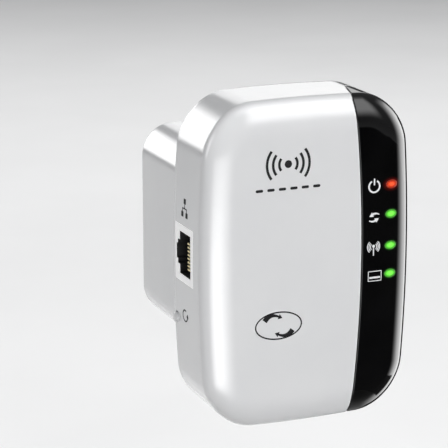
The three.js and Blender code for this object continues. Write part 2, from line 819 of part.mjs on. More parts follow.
// A flat blade with a rounded tip, a hole near it, and shoulders and a wire tab inside.
function blade() {
  const half = BLADE_WIDTH / 2;
  const wide = half + BLADE_SHOULDER;
  const tip = BLADE_LENGTH;
  const round = BLADE_TIP_ROUND;
  const seat = -HOLDER_THICKNESS - FIT_GAP;
  const shape = new THREE.Shape();
  shape.moveTo(-BLADE_TAB_HALF, -BLADE_TAB_END);
  shape.lineTo(BLADE_TAB_HALF, -BLADE_TAB_END);
  shape.lineTo(BLADE_TAB_HALF, -BLADE_SHOULDER_END);
  shape.lineTo(wide, -BLADE_SHOULDER_END);
  shape.lineTo(wide, seat);
  shape.lineTo(half, seat);
  shape.lineTo(half, tip - round);
  shape.quadraticCurveTo(half, tip, half - round, tip);
  shape.lineTo(-half + round, tip);
  shape.quadraticCurveTo(-half, tip, -half, tip - round);
  shape.lineTo(-half, seat);
  shape.lineTo(-wide, seat);
  shape.lineTo(-wide, -BLADE_SHOULDER_END);
  shape.lineTo(-BLADE_TAB_HALF, -BLADE_SHOULDER_END);
  const hole = new THREE.Path();
  hole.absarc(0, BLADE_HOLE_HEIGHT, BLADE_HOLE_RADIUS, 0, 2 * Math.PI, true);
  shape.holes.push(hole);
  const geometry = new THREE.ExtrudeGeometry(shape, {
    depth: BLADE_THICKNESS,
    curveSegments: 6,
    bevelEnabled: false,
  });
  // The outline's first axis becomes Z and the thickness runs along X.
  geometry.translate(0, 0, -BLADE_THICKNESS / 2);
  geometry.rotateY(-Math.PI / 2);
  return geometry;
}

// ---------------------------------------------------------------- power supply

const POWER_FRONT = -PLUG_DEPTH + POWER_BOARD_STANDOFF;
const POWER_BACK = POWER_FRONT + POWER_BOARD_THICKNESS;

function powerBoard() {
  let board = prism(
    roundedRectangle(POWER_BOARD_WIDTH / 2, POWER_BOARD_HEIGHT / 2, 4),
    POWER_FRONT,
    POWER_BACK,
  );
  for (const [x, z] of POWER_SCREWS) {
    board = board.subtract(
      barY(SCREW_HOLE, POWER_FRONT - OVERCUT, POWER_BACK + OVERCUT, x, z, HOLE_STEPS),
    );
  }
  return board;
}

// Ferrite core: two end plates joined by a round middle leg and two outer legs.
function transformerCore() {
  const { x, y, z } = TRANSFORMER;
  const frame = cut(
    box(x - 10, x + 10, y - 3.4, y + 3.4, z - 8, z + 8),
    box(x - 7.6, x + 7.6, y - 5, y + 5, z - 5, z + 5),
  );
  const leg = new THREE.CylinderGeometry(2.8, 2.8, 12, 16);
  leg.rotateX(Math.PI / 2);
  leg.translate(x, y, z);
  return frame.add(solid(leg));
}

function transformerCoil() {
  const { x, y, z } = TRANSFORMER;
  const profile = [
    [3.1, -4.7],
    [7.2, -4.7],
    [7.2, 4.7],
    [3.1, 4.7],
    [3.1, -4.7],
  ];
  const geometry = new THREE.LatheGeometry(
    profile.map(([r, h]) => new THREE.Vector2(r, h)),
    ROUND_STEPS,
  );
  geometry.rotateX(Math.PI / 2);
  geometry.translate(x, y, z);
  return geometry;
}

// A can capacitor standing on the power board, with the groove near its foot.
function capacitor(radius, height) {
  const profile = [
    [0, 0],
    [radius, 0],
    [radius, 1.2],
    [radius - 0.4, 1.7],
    [radius, 2.2],
    [radius, height - 0.5],
    [radius - 0.5, height],
    [0, height],
  ];
  return new THREE.LatheGeometry(
    profile.map(([r, y]) => new THREE.Vector2(r, y)),
    20,
  );
}

function fuse() {
  const profile = [
    [0, -5],
    [2.2, -5],
    [2.2, -3.4],
    [1.9, -3.4],
    [1.9, 3.4],
    [2.2, 3.4],
    [2.2, 5],
    [0, 5],
  ];
  const geometry = new THREE.LatheGeometry(
    profile.map(([r, y]) => new THREE.Vector2(r, y)),
    16,
  );
  geometry.rotateX(Math.PI / 2);
  return geometry;
}

// ---------------------------------------------------------------- assembly

const extender = new THREE.Group();
const body = new THREE.Group(); // its y = 0 is the front edge plane
body.position.y = -PLUG_DEPTH - WALL_DEPTH;
const plug = new THREE.Group(); // its y = 0 is the outlet face
extender.add(body, plug);

body.add(piece("front_cover", frontCover(), WHITE_GLOSS));
body.add(piece("indicator_panel", indicatorPanel(), BLACK_GLOSS));
body.add(piece("wps_button", frontButton(), WHITE_GLOSS));
body.add(piece("wps_switch", frontSwitch(), BLACK_PLASTIC));
body.add(piece("wps_switch_plunger", frontSwitchPlunger(), BLACK_PLASTIC));
body.add(piece("reset_button", resetButton(), WHITE_GLOSS));
body.add(piece("reset_switch", resetSwitch(), BLACK_PLASTIC));
body.add(piece("reset_switch_plunger", resetSwitchPlunger(), BLACK_PLASTIC));
body.add(piece("rear_cover", rearCover(), WHITE_GLOSS));

LAMP_HEIGHTS.forEach((z, i) => {
  const colour = i === 0 ? CLEAR_RED : CLEAR_GREEN;
  body.add(piece("light_pipe_" + LAMP_NAMES[i], lightPipe(z), colour));
  body.add(piece("led_" + LAMP_NAMES[i], lampChip(z), LABEL_PAPER));
});

body.add(piece("jack_housing", jackHousing(), JACK_PLASTIC));
for (let i = 0; i < CONTACT_COUNT; i += 1) {
  body.add(piece("jack_contact_" + (i + 1), jackContact(i), GOLD));
}

body.add(piece("main_board", mainBoard(), BOARD_GREEN));
body.add(piece("wifi_chip", boardPart(8, 12, 11, 11, 1.2), BLACK_PLASTIC));
body.add(piece("memory_chip", boardPart(10, -4, 10, 7, 1.2), BLACK_PLASTIC));
body.add(piece("flash_chip", boardPart(20, 4, 5, 6, 1.5), BLACK_PLASTIC));
body.add(piece("lan_transformer", boardPart(-4.5, JACK_Z, 7, 12, 3), BLACK_PLASTIC));
body.add(piece("antenna_left", antenna(-1), BRASS));
body.add(piece("antenna_right", antenna(1), BRASS));
body.add(piece("dc_socket", powerSocket(), JACK_PLASTIC));

let coverScrewNumber = 0;
for (const x of [-COVER_SCREW_X, COVER_SCREW_X]) {
  for (const z of [COVER_SCREW_Z, -COVER_SCREW_Z]) {
    coverScrewNumber += 1;
    const fastener = piece("cover_screw_" + coverScrewNumber, screw(COVER_SCREW), STEEL);
    fastener.position.set(x, SCREW_POCKET_FLOOR + 0.05, z);
    body.add(fastener);
  }
}
[BOARD_SCREW_Z, -BOARD_SCREW_Z].forEach((z, i) => {
  const fastener = piece("board_screw_" + (i + 1), screw(BOARD_SCREW), STEEL);
  fastener.position.set(0, BOARD_BACK + REST_GAP, z);
  body.add(fastener);
});

plug.add(piece("plug_housing", plugHousing(), WHITE_GLOSS));
plug.add(piece("blade_holder", bladeHolder(), WHITE_GLOSS));
[
  ["blade_left", -1],
  ["blade_right", 1],
].forEach(([name, side]) => {
  const made = piece(name, blade(), BRASS);
  made.position.x = (side * BLADE_SPACING) / 2;
  plug.add(made);
});

const label = piece("rating_label", new THREE.BoxGeometry(0.2, 24, 32), LABEL_PAPER);
label.position.set(PLUG_WIDTH / 2 + 0.12, -20, 0);
plug.add(label);

plug.add(piece("power_board", powerBoard(), BOARD_GREEN));
plug.add(piece("transformer_core", transformerCore(), FERRITE));
plug.add(piece("transformer_coil", transformerCoil(), COPPER));
const inputCapacitor = piece("input_capacitor", capacitor(5, 15), BLACK_PLASTIC);
inputCapacitor.position.set(-13, POWER_BACK + REST_GAP, 10);
const outputCapacitor = piece("output_capacitor", capacitor(4, 12), BLACK_PLASTIC);
outputCapacitor.position.set(5, POWER_BACK + REST_GAP, 15);
const fuseTube = piece("fuse", fuse(), JACK_PLASTIC);
fuseTube.position.set(-12, POWER_BACK + 2.4, -4);
plug.add(inputCapacitor, outputCapacitor, fuseTube);
plug.add(
  piece(
    "bridge_rectifier",
    box(-12, -4, POWER_BACK, POWER_BACK + 2.6, -21, -14.5),
    BLACK_PLASTIC,
  ),
);
plug.add(
  piece("power_controller", box(-5, 0, POWER_BACK, POWER_BACK + 1.7, 16, 22), BLACK_PLASTIC),
);
POWER_SCREWS.forEach(([x, z], i) => {
  const fastener = piece("power_board_screw_" + (i + 1), screw(BOARD_SCREW), STEEL);
  fastener.position.set(x, POWER_BACK + REST_GAP, z);
  plug.add(fastener);
});

// Mains leads from the blades' tabs to the power board.
[
  ["live_lead", -1, BLUE_WIRE],
  ["neutral_lead", 1, RED_WIRE],
].forEach(([name, side, look]) => {
  const route = [
    [(side * BLADE_SPACING) / 2, -12.8, 0],
    [side * 8, -14.5, -1],
    [side * 15, -16.5, -5],
    [side * 18.5, -22, -10],
    [side * 18.5, -29, -12],
    [side * 18.5, POWER_BACK + 0.3, -12],
  ];
  plug.add(piece(name, lead(0.8, route), look));
});

// Low-voltage leads through the rear cover's window to the socket on the main board.
[
  ["dc_lead_positive", 6.6, RED_WIRE],
  ["dc_lead_negative", 9.4, BLUE_WIRE],
].forEach(([name, x, look]) => {
  const socketFloor = -PLUG_DEPTH - WALL_DEPTH + BOARD_BACK + 2.3;
  const route = [
    [x, socketFloor, -18],
    [x, socketFloor + 5, -18],
    [x, socketFloor + 10, -17.4],
    [x, POWER_FRONT - 0.3, -17.4],
  ];
  plug.add(piece(name, lead(0.7, route), look));
});

export default extender;
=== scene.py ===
"""The looks of a plug-in wireless range extender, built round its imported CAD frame.

Helpers work in millimetres in the frame's axes (+X right, +Y back to the outlet, +Z up), and
meshes are written in metres.
"""

import json
import math

import bmesh
import bpy
import numpy as np
from mathutils import Matrix, Vector
from mathutils.geometry import delaunay_2d_cdt


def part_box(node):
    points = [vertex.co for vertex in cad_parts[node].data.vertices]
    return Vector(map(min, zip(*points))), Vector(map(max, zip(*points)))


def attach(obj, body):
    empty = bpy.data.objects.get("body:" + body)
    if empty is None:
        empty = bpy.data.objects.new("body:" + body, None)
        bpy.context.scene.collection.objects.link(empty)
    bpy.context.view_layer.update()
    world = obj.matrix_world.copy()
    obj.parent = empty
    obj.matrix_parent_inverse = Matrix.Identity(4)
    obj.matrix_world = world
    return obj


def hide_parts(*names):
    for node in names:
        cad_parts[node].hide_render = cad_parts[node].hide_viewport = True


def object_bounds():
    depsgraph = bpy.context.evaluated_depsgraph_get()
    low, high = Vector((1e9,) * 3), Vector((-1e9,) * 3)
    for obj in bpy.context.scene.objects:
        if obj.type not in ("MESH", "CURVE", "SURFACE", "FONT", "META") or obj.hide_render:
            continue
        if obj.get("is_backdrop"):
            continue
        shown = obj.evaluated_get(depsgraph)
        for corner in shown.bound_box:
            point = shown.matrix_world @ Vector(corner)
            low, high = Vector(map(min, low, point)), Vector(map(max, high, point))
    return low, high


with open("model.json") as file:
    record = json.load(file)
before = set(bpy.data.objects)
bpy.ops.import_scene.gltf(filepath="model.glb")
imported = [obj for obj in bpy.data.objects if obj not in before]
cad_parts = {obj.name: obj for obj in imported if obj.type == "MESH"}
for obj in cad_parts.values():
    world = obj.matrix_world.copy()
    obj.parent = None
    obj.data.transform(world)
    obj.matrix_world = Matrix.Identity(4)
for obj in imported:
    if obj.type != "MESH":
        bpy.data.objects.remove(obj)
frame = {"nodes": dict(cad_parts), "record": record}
cad_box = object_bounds()

MM = 0.001

# --- sizes from the frame


def node_box(name):
    """Lowest and highest corners of a CAD node, in millimetres."""
    low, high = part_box(name)
    return np.array(low) / MM, np.array(high) / MM


def node_centre(name):
    low, high = node_box(name)
    return (low + high) / 2


COVER_LOW, COVER_HIGH = node_box("front_cover")
PLUG_LOW, PLUG_HIGH = node_box("plug_housing")
JACK_LOW, JACK_HIGH = node_box("jack_housing")
HOLDER_LOW, HOLDER_HIGH = node_box("blade_holder")

WIDTH = COVER_HIGH[0] - COVER_LOW[0]
HEIGHT = COVER_HIGH[2] - COVER_LOW[2]
HALF = np.array([WIDTH, HEIGHT]) / 2
FRONT = COVER_LOW[1]
RIM = COVER_HIGH[1]
BACK = PLUG_LOW[1] - 0.05
SCREW_SEAT = BACK - 2.0

# The body's form, the same as the CAD's.
CORNER_RADIUS = 14.1
SIDE_BOW = 2.2
END_BOW = 1.0
CROWN_HEIGHT = 4.5
CROWN_REACH = 9.5
CROWN_POWER = 2.3
EDGE = FRONT + CROWN_HEIGHT  # the plane where the side walls meet the crowned front

SHELL = 2.0
COVER_EDGE = 0.5
RECESS_DEPTH = 1.25
PANEL_THICKNESS = 1.0
PANEL_GAP = 0.12
PANEL_EDGE = 0.2
PANEL_APEX = 15.25
PANEL_ARC_RADIUS = 360
PANEL_SLANT = 0.3
PANEL_SLANT_START = -3.0
PANEL_REAR = 10.2
PARTING_GAP = 0.15

LAMPS = ["power", "sync", "wireless", "network"]
LAMP_CENTRES = {name: node_centre("light_pipe_" + name) for name in LAMPS}
LAMP_RADII = np.array([1.65, 1.15])
BUTTON_CENTRE = node_centre("wps_button")
BUTTON_RADII = np.array([7.0, 4.05])
BUTTON_HOLE_GAP = 0.28
RESET_CENTRE = node_centre("reset_button")
RESET_DEPTH = 15.9
RESET_RADIUS = 1.4

# --- flat outlines


def arc(centre, radius, start, end, spacing=0.5):
    """Points along a round arc, in degrees, both ends included."""
    span = math.radians(end - start)
    count = max(3, int(math.ceil(abs(span) * radius / spacing)))
    turn = math.radians(start) + span * np.arange(count + 1) / count
    return np.stack([centre[0] + radius * np.cos(turn), centre[1] + radius * np.sin(turn)], 1)


def oval(centre, radii, count):
    turn = 2 * math.pi * np.arange(count) / count
    return np.stack([centre[0] + radii[0] * np.cos(turn), centre[1] + radii[1] * np.sin(turn)], 1)


def densify(loop, spacing):
    """The closed loop with its long stretches divided."""
    loop = np.asarray(loop, float)
    made = []
    for a, b in zip(loop, np.roll(loop, -1, 0)):
        count = max(1, int(math.ceil(np.linalg.norm(b - a) / spacing)))
        made += [a + (b - a) * k / count for k in range(count)]
    return np.array(made)


def rounded(corners, radii, steps=5):
    """A polygon with each corner turned into a round of its own radius."""
    corners = np.asarray(corners, float)
    count = len(corners)
    made = []
    for k in range(count):
        here, before, after = corners[k], corners[k - 1], corners[(k + 1) % count]
        radius = radii if np.isscalar(radii) else radii[k]
        to_before = (before - here) / np.linalg.norm(before - here)
        to_after = (after - here) / np.linalg.norm(after - here)
        half = math.acos(np.clip(to_before @ to_after, -1, 1)) / 2
        if radius <= 0:
            made.append(here)
            continue
        reach = radius / math.tan(half)
        middle = (to_before + to_after) / np.linalg.norm(to_before + to_after)
        centre = here + middle * radius / math.sin(half)
        first, last = here + to_before * reach - centre, here + to_after * reach - centre
        sweep = math.acos(np.clip(first @ last / radius**2, -1, 1))
        for i in range(steps + 1):
            t = i / steps
            a = math.sin((1 - t) * sweep) / math.sin(sweep)
            b = math.sin(t * sweep) / math.sin(sweep)
            made.append(centre + a * first + b * last)
    return np.array(made)


def rectangle(half_width, half_height, radius, centre=(0, 0), steps=8):
    """An anticlockwise rounded rectangle."""
    x, z = half_width, half_height
    corners = np.array([[x, z], [-x, z], [-x, -z], [x, -z]]) + centre
    return rounded(corners, radius, steps)


def offset(loop, distance):
    """The loop moved to the left of its travel, which is inwards when it is anticlockwise."""
    tangent = np.roll(loop, -1, 0) - np.roll(loop, 1, 0)
    left = np.stack([-tangent[:, 1], tangent[:, 0]], 1)
    return loop + distance * left / np.linalg.norm(left, axis=1)[:, None]


def inside(points, loops):
    """Even-odd test of points against closed loops."""
    odd = np.zeros(len(points), bool)
    for loop in loops:
        a, b = loop, np.roll(loop, -1, 0)
        for start in range(0, len(points), 4000):
            p = points[start : start + 4000, None, :]
            spans = (a[None, :, 1] > p[..., 1]) != (b[None, :, 1] > p[..., 1])
            rise = np.where(b[:, 1] == a[:, 1], 1.0, b[:, 1] - a[:, 1])
            cross = a[None, :, 0] + (p[..., 1] - a[None, :, 1]) * (b - a)[None, :, 0] / rise
            odd[start : start + 4000] ^= (spans & (p[..., 0] < cross)).sum(1) % 2 == 1
    return odd


def clear_of(points, loops, distance):
    """The points further than a distance from every loop's points."""
    rims = np.vstack(loops)
    keep = np.ones(len(points), bool)
    for start in range(0, len(points), 1000):
        part = points[start : start + 1000]
        gap = ((part[:, None, :] - rims[None, :, :]) ** 2).sum(2).min(1)
        keep[start : start + 1000] = gap > distance**2
    return points[keep]


# --- sheets that carry outlines


def outline_distance(q):
    """Signed distance from the body's unbowed outline, and the way outwards."""
    d = np.abs(q) - (HALF - CORNER_RADIUS)
    out = np.maximum(d, 0)
    reach = np.hypot(out[:, 0], out[:, 1])
    distance = reach + np.minimum(d.max(1), 0) - CORNER_RADIUS
    flat = np.stack([d[:, 0] >= d[:, 1], d[:, 0] < d[:, 1]], 1).astype(float)
    way = np.where((reach > 1e-9)[:, None], out / np.maximum(reach, 1e-9)[:, None], flat)
    return distance, way * np.where(q < 0, -1.0, 1.0)


def bow(q):
    """Draws the sides and ends in, as the body's outline is bowed."""
    share = (q / HALF) ** 2
    return q * (1 - np.array([SIDE_BOW, END_BOW]) / HALF * share[:, ::-1])


def unbow(points):
    """The flat point that bow() takes to each given point."""
    q = np.array(points, float)
    for _ in range(12):
        q = q + (points - bow(q))
    return q


def crown_profile():
    """Tables from distance along the unrolled sheet to inset and depth behind the edge."""
    rolled = 2.5  # from this inset outwards the sheet is unrolled by its true length
    turn = np.linspace(0, math.pi / 2, 6001)
    power = 2 / CROWN_POWER
    inset = CROWN_REACH * (1 - np.clip(np.cos(turn), 0, 1) ** power)
    depth = -CROWN_HEIGHT * np.sin(turn) ** power
    outer = inset <= rolled
    inset_in, depth_in = inset[~outer][::-1], depth[~outer][::-1]
    inset_out, depth_out = inset[outer][::-1], depth[outer][::-1]
    step = np.hypot(np.diff(inset_out), np.diff(depth_out))
    along = -inset_out[0] + np.concatenate([[0], np.cumsum(step)])
    s = np.concatenate([[-200], -inset_in, along, [along[-1] + 200]])
    inset_all = np.concatenate([[200], inset_in, inset_out, [0]])
    depth_all = np.concatenate([[-CROWN_HEIGHT], depth_in, depth_out, [200]])
    return s, inset_all, depth_all, along[-1]


PROFILE_S, PROFILE_INSET, PROFILE_DEPTH, WALL_START = crown_profile()
RIM_S = WALL_START + RIM - EDGE


def body_points(q):
    s, way = outline_distance(q)
    inset = np.interp(s, PROFILE_S, PROFILE_INSET)
    depth = np.interp(s, PROFILE_S, PROFILE_DEPTH)
    flat = bow(q - (s + inset)[:, None] * way)
    return np.stack([flat[:, 0], EDGE + depth, flat[:, 1]], 1)


def body_sheet(q):
    """Points and outward normals of the body's surface over a flat sheet."""
    e = 0.02
    across = body_points(q + [e, 0]) - body_points(q - [e, 0])
    up = body_points(q + [0, e]) - body_points(q - [0, e])
    normals = np.cross(across, up)
    return body_points(q), normals / np.linalg.norm(normals, axis=1)[:, None]


def plane_sheet(origin, right, up):
    """A flat sheet: a function like body_sheet for a plane."""
    origin, right, up = (np.array(v, float) for v in (origin, right, up))
    normal = np.cross(right, up)

    def sheet(q):
        points = origin + q[:, :1] * right + q[:, 1:] * up
        return points, np.tile(normal, (len(q), 1))

    return sheet


def body_outline(s, spacing=0.6):
    """The outline at a distance along the sheet, anticlockwise from the right."""
    x, z = HALF - CORNER_RADIUS
    radius = CORNER_RADIUS + s
    corners = [((x, z), 0), ((-x, z), 90), ((-x, -z), 180), ((x, -z), 270)]
    loop = np.vstack([arc(c, radius, a, a + 90, spacing) for c, a in corners])
    return densify(loop, spacing)


def body_fill(loops):
    """Points that carry the body's curvature between loops."""
    steep_end, steep_step, gentle_step, grid_step = -3.0, 0.5, 0.8, 3.0
    rows = list(np.linspace(WALL_START, RIM_S, 8)[:-1])
    rows += list(np.arange(WALL_START - steep_step, steep_end, -steep_step))
    rows += list(np.arange(steep_end, -CROWN_REACH - 1, -gentle_step))
    points = [body_outline(s, 1.3) for s in rows]
    grid = np.arange(-HEIGHT / 2, HEIGHT / 2, grid_step)
    mesh = np.stack(np.meshgrid(grid, grid), 2).reshape(-1, 2)
    distance, _ = outline_distance(mesh)
    points.append(mesh[distance < -CROWN_REACH - 1.8])
    points = clear_of(np.vstack(points), loops, 0.42)
    return points[inside(points, loops)]


# --- meshes


class Patch:
    """A region of a sheet between closed loops, triangulated once. The first loop is the
    outside, the others are holes, and all run anticlockwise."""

    def __init__(self, sheet, loops, fill=None):
        self.uv = np.vstack(loops if fill is None else [*loops, fill])
        edges, self.rings, start = [], [], 0
        for loop in loops:
            ring = np.arange(start, start + len(loop))
            edges += list(zip(ring.tolist(), np.roll(ring, -1).tolist()))
            self.rings.append(ring)
            start += len(loop)
        found = delaunay_2d_cdt([Vector(p) for p in self.uv], edges, [], 0, 1e-6, True)
        source = np.array([o[0] for o in found[3]])
        triangles = source[np.array([f for f in found[2] if len(f) == 3])]
        self.triangles = triangles[inside(self.uv[triangles].mean(1), loops)]
        self.points, self.normals = sheet(self.uv)


def unit(v):
    return v / np.maximum(np.linalg.norm(v, axis=-1, keepdims=True), 1e-12)


class Solid:
    """A closed mesh made from patches, rolled edges and strips, with exact normals."""

    def __init__(self, name):
        self.name = name
        self.points, self.polygons, self.normals = [], [], []
        self.count = 0

    def add(self, points):
        index = np.arange(self.count, self.count + len(points))
        self.points.append(np.asarray(points, float))
        self.count += len(points)
        return index

    def faces(self, index, normals):
        self.polygons += index.tolist()
        self.normals.append(normals.reshape(-1, 3))

    def lay(self, patch, depth=0.0, rings=None, back=False):
        """Places a patch below its sheet; rings gives the points that exist already."""
        index = np.full(len(patch.uv), -1)
        for k, known in (rings or {}).items():
            index[patch.rings[k]] = known
        new = index < 0
        index[new] = self.add(patch.points[new] - depth * patch.normals[new])
        triangles = patch.triangles[:, ::-1] if back else patch.triangles
        normals = -patch.normals if back else patch.normals
        self.faces(index[triangles], normals[triangles])
        return index

    def strip(self, first, second, first_normals, second_normals):
        """Joins two closed rings, the second to the left of the first's travel."""
        a, b = first, np.roll(first, -1)
        c, d = np.roll(second, -1), second
        na, nb = first_normals, np.roll(first_normals, -1, 0)
        nc, nd = np.roll(second_normals, -1, 0), second_normals
        self.faces(np.stack([a, b, c, d], 1), np.stack([na, nb, nc, nd], 1))

    def edge(self, patch, ring, index, radius, depth, start=0.0, outward=False):
        """Rolls a patch's rim over a radius and on down to a depth below the sheet. It goes
        into a hole, or outwards round the patch, and returns the last ring."""
        order = patch.rings[ring][::-1] if outward else patch.rings[ring]
        normals = patch.normals[order]
        points = patch.points[order] - start * normals
        tangent = np.roll(points, -1, 0) - np.roll(points, 1, 0)
        left = unit(np.cross(normals, tangent))
        last, last_normals = index[order], normals
        if radius > 0:
            for turn in np.linspace(0, math.pi / 2, 5)[1:]:
                sine, cosine = math.sin(turn), math.cos(turn)
                place = points + radius * (left * sine - normals * (1 - cosine))
                now = self.add(place)
                now_normals = cosine * normals + sine * left
                self.strip(last, now, last_normals, now_normals)
                last, last_normals = now, now_normals
        bottom = self.add(points + radius * left - (depth - start) * normals)
        self.strip(last, bottom, left, left)
        return bottom[::-1] if outward else bottom

    def build(self, body, finish, material, replaces=()):
        mesh = bpy.data.meshes.new(self.name)
        mesh.from_pydata((np.vstack(self.points) * MM).tolist(), [], self.polygons)
        mesh.polygons.foreach_set("use_smooth", [True] * len(self.polygons))
        mesh.materials.append(material)
        mesh.normals_split_custom_set(np.vstack(self.normals).tolist())
        mesh.update()
        return place(self.name, mesh, body, finish, replaces)


def add_object(name, data):
    thing = bpy.data.objects.new(name, data)
    bpy.context.scene.collection.objects.link(thing)
    return thing


def place(name, mesh, body, finish, replaces=()):
    """Puts a mesh in the scene as a piece that rides on a body."""
    piece = add_object(name, mesh)
    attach(piece, body)
    if replaces:
        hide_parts(*replaces)
    return piece


def shell(name, sheet, outer, holes, thickness, radius, hole_radius=0.0, fill=None):
    """A plate on a sheet with rolled front edges and holes right through."""
    solid = Solid(name)
    patch = Patch(sheet, [outer, *holes], fill)
    index = solid.lay(patch)
    rings = {0: solid.edge(patch, 0, index, radius, thickness, outward=True)}
    for k in range(1, len(holes) + 1):
        rings[k] = solid.edge(patch, k, index, hole_radius, thickness)
    solid.lay(patch, thickness, rings, back=True)
    return solid


# --- materials


def set_range(node, from_low, from_high, low, high):
    """Sets the four limits of a map range node."""
    limits = {"From Min": from_low, "From Max": from_high, "To Min": low, "To Max": high}
    for name, number in limits.items():
        node.inputs[name].default_value = number


class Look:
    """A node material: a Principled shader and small helpers for what feeds it."""

    def __init__(self, name, color, roughness, metallic=0.0, **inputs):
        self.material = bpy.data.materials.new(name)
        self.material.use_nodes = True
        self.tree = self.material.node_tree
        self.nodes, self.links = self.tree.nodes, self.tree.links
        self.shader = self.nodes["Principled BSDF"]
        self.shader.inputs["Base Color"].default_value = (*color, 1)
        self.shader.inputs["Roughness"].default_value = roughness
        self.shader.inputs["Metallic"].default_value = metallic
        for key, value in inputs.items():
            self.shader.inputs[key.replace("_", " ")].default_value = value
        self.coordinates = self.nodes.new("ShaderNodeTexCoord").outputs["Object"]

    def node(self, kind, **settings):
        made = self.nodes.new(kind)
        for key, value in settings.items():
            setattr(made, key, value)
        return made

    def noise(self, scale, detail=3.0):
        """Fractal noise over the object, at a scale per metre."""
        made = self.node("ShaderNodeTexNoise")
        made.inputs["Scale"].default_value = scale
        made.inputs["Detail"].default_value = detail
        self.links.new(self.coordinates, made.inputs["Vector"])
        return made.outputs["Fac"]

    def spread(self, value, low, high):
        """Stretches the middle of a noise's range to run from low to high."""
        made = self.node("ShaderNodeMapRange")
        set_range(made, 0.35, 0.65, low, high)
        self.links.new(value, made.inputs["Value"])
        return made.outputs["Result"]

    def vary_roughness(self, scale, low, high):
        self.links.new(self.spread(self.noise(scale), low, high), self.shader.inputs["Roughness"])

    def vary_color(self, scale, first, second):
        made = self.node("ShaderNodeMix", data_type="RGBA")
        made.inputs["A"].default_value = (*first, 1)
        made.inputs["B"].default_value = (*second, 1)
        self.links.new(self.spread(self.noise(scale), 0, 1), made.inputs["Factor"])
        self.links.new(made.outputs["Result"], self.shader.inputs["Base Color"])

    def bump(self, height, strength, distance):
        made = self.node("ShaderNodeBump")
        made.inputs["Strength"].default_value = strength
        made.inputs["Distance"].default_value = distance
        self.links.new(height, made.inputs["Height"])
        self.links.new(made.outputs["Normal"], self.shader.inputs["Normal"])


def white_plastic():
    look = Look("white_gloss_plastic", (0.86, 0.865, 0.875), 0.16, IOR=1.5, Coat_Weight=1.0)
    look.vary_color(60, (0.85, 0.855, 0.866), (0.872, 0.876, 0.884))
    look.vary_roughness(220, 0.12, 0.2)
    look.bump(look.noise(900, 2), 0.03, 0.00001)
    return look.material


def black_plastic():
    """Gloss black, with each lamp's soft glow painted on it as emission."""
    look = Look("piano_black", (0.002, 0.002, 0.002), 0.04, IOR=1.5, Specular_IOR_Level=0.5)
    look.vary_color(90, (0.001, 0.001, 0.0012), (0.0025, 0.0025, 0.0027))
    look.vary_roughness(140, 0.03, 0.07)
    look.bump(look.noise(500, 2), 0.03, 0.00002)
    # A painted glow round each lamp: emission on the black that fades out from the lamp's centre.
    painted_halos = []
    for name in LAMPS:
        strength, reach, start = (0.14, 1.9, 0.2) if name == "power" else (0.12, 1.45, 0.45)
        tint = tuple(c**1.3 for c in LAMP_COLORS[name])
        painted_halos.append(
            add_glow(look, LAMP_CENTRES[name], LAMP_RADII * reach, tint, strength, start)
        )
    emit(look, painted_halos)
    return look.material


def ink(name, color):
    look = Look(name, color, 0.55, Specular_IOR_Level=0.15)
    light = tuple(min(1, c * 1.15 + 0.004) for c in color)
    look.vary_color(1500, color, light)
    look.bump(look.noise(3000, 2), 0.1, 0.00001)
    return look.material


def add_glow(look, centre, radii, color, strength, start=0.0):
    """Emission that falls off across the front from a lamp's centre."""
    offset = look.node("ShaderNodeVectorMath", operation="SUBTRACT")
    offset.inputs[1].default_value = Vector(centre) * MM
    look.links.new(look.coordinates, offset.inputs[0])
    scaled = look.node("ShaderNodeVectorMath", operation="MULTIPLY")
    scaled.inputs[1].default_value = (1 / (radii[0] * MM), 0, 1 / (radii[1] * MM))
    look.links.new(offset.outputs["Vector"], scaled.inputs[0])
    length = look.node("ShaderNodeVectorMath", operation="LENGTH")
    look.links.new(scaled.outputs["Vector"], length.inputs[0])
    fade = look.node("ShaderNodeMapRange", interpolation_type="SMOOTHSTEP")
    set_range(fade, start, 1, strength, 0)
    look.links.new(length.outputs["Value"], fade.inputs["Value"])
    tint = look.node("ShaderNodeVectorMath", operation="SCALE")
    tint.inputs[0].default_value = color
    look.links.new(fade.outputs["Result"], tint.inputs["Scale"])
    return tint.outputs["Vector"]


def emit(look, colors):
    """Feeds the sum of colours to the shader's emission."""
    total = colors[0]
    for color in colors[1:]:
        both = look.node("ShaderNodeVectorMath", operation="ADD")
        look.links.new(total, both.inputs[0])
        look.links.new(color, both.inputs[1])
        total = both.outputs["Vector"]
    look.links.new(total, look.shader.inputs["Emission Color"])
    look.shader.inputs["Emission Strength"].default_value = 1.0


RED, GREEN = (1.0, 0.06, 0.012), (0.17, 1.0, 0.07)
LAMP_COLORS = {"power": RED, "sync": GREEN, "wireless": GREEN, "network": GREEN}
RED_SPREAD, GREEN_SPREAD = (1.3, 0.0), (1.2, 0.2)


def lamp_look(name):
    """A lit lamp: brightest in the middle, darker and deeper in colour at its rim."""
    color = LAMP_COLORS[name]
    spread, start = RED_SPREAD if name == "power" else GREEN_SPREAD
    look = Look("lamp_" + name, tuple(0.25 * c for c in color), 0.25)
    look.vary_roughness(900, 0.2, 0.3)
    rx, rz = LAMP_RADII
    centre = LAMP_CENTRES[name]
    body = add_glow(look, centre, (spread * rx, 0.86 * spread * rz), color, 1.05, start)
    core = add_glow(look, centre, (0.85 * rx, 0.7 * rz), (0.6, 0.6, 0.25), 0.14)
    emit(look, [body, core])
    return look.material


def plain(name, dark, light, roughness, metallic=0.0, grain=800, relief=0.15, **inputs):
    """Moulded, sintered, coated or metal surfaces that differ in colour, grain and gloss."""
    look = Look(name, dark, roughness, metallic, **inputs)
    look.vary_color(grain, dark, light)
    look.vary_roughness(grain * 0.7, roughness * 0.8, min(1, roughness * 1.2))
    look.bump(look.noise(grain * 2.5, 3), relief, 0.00003)
    return look.material


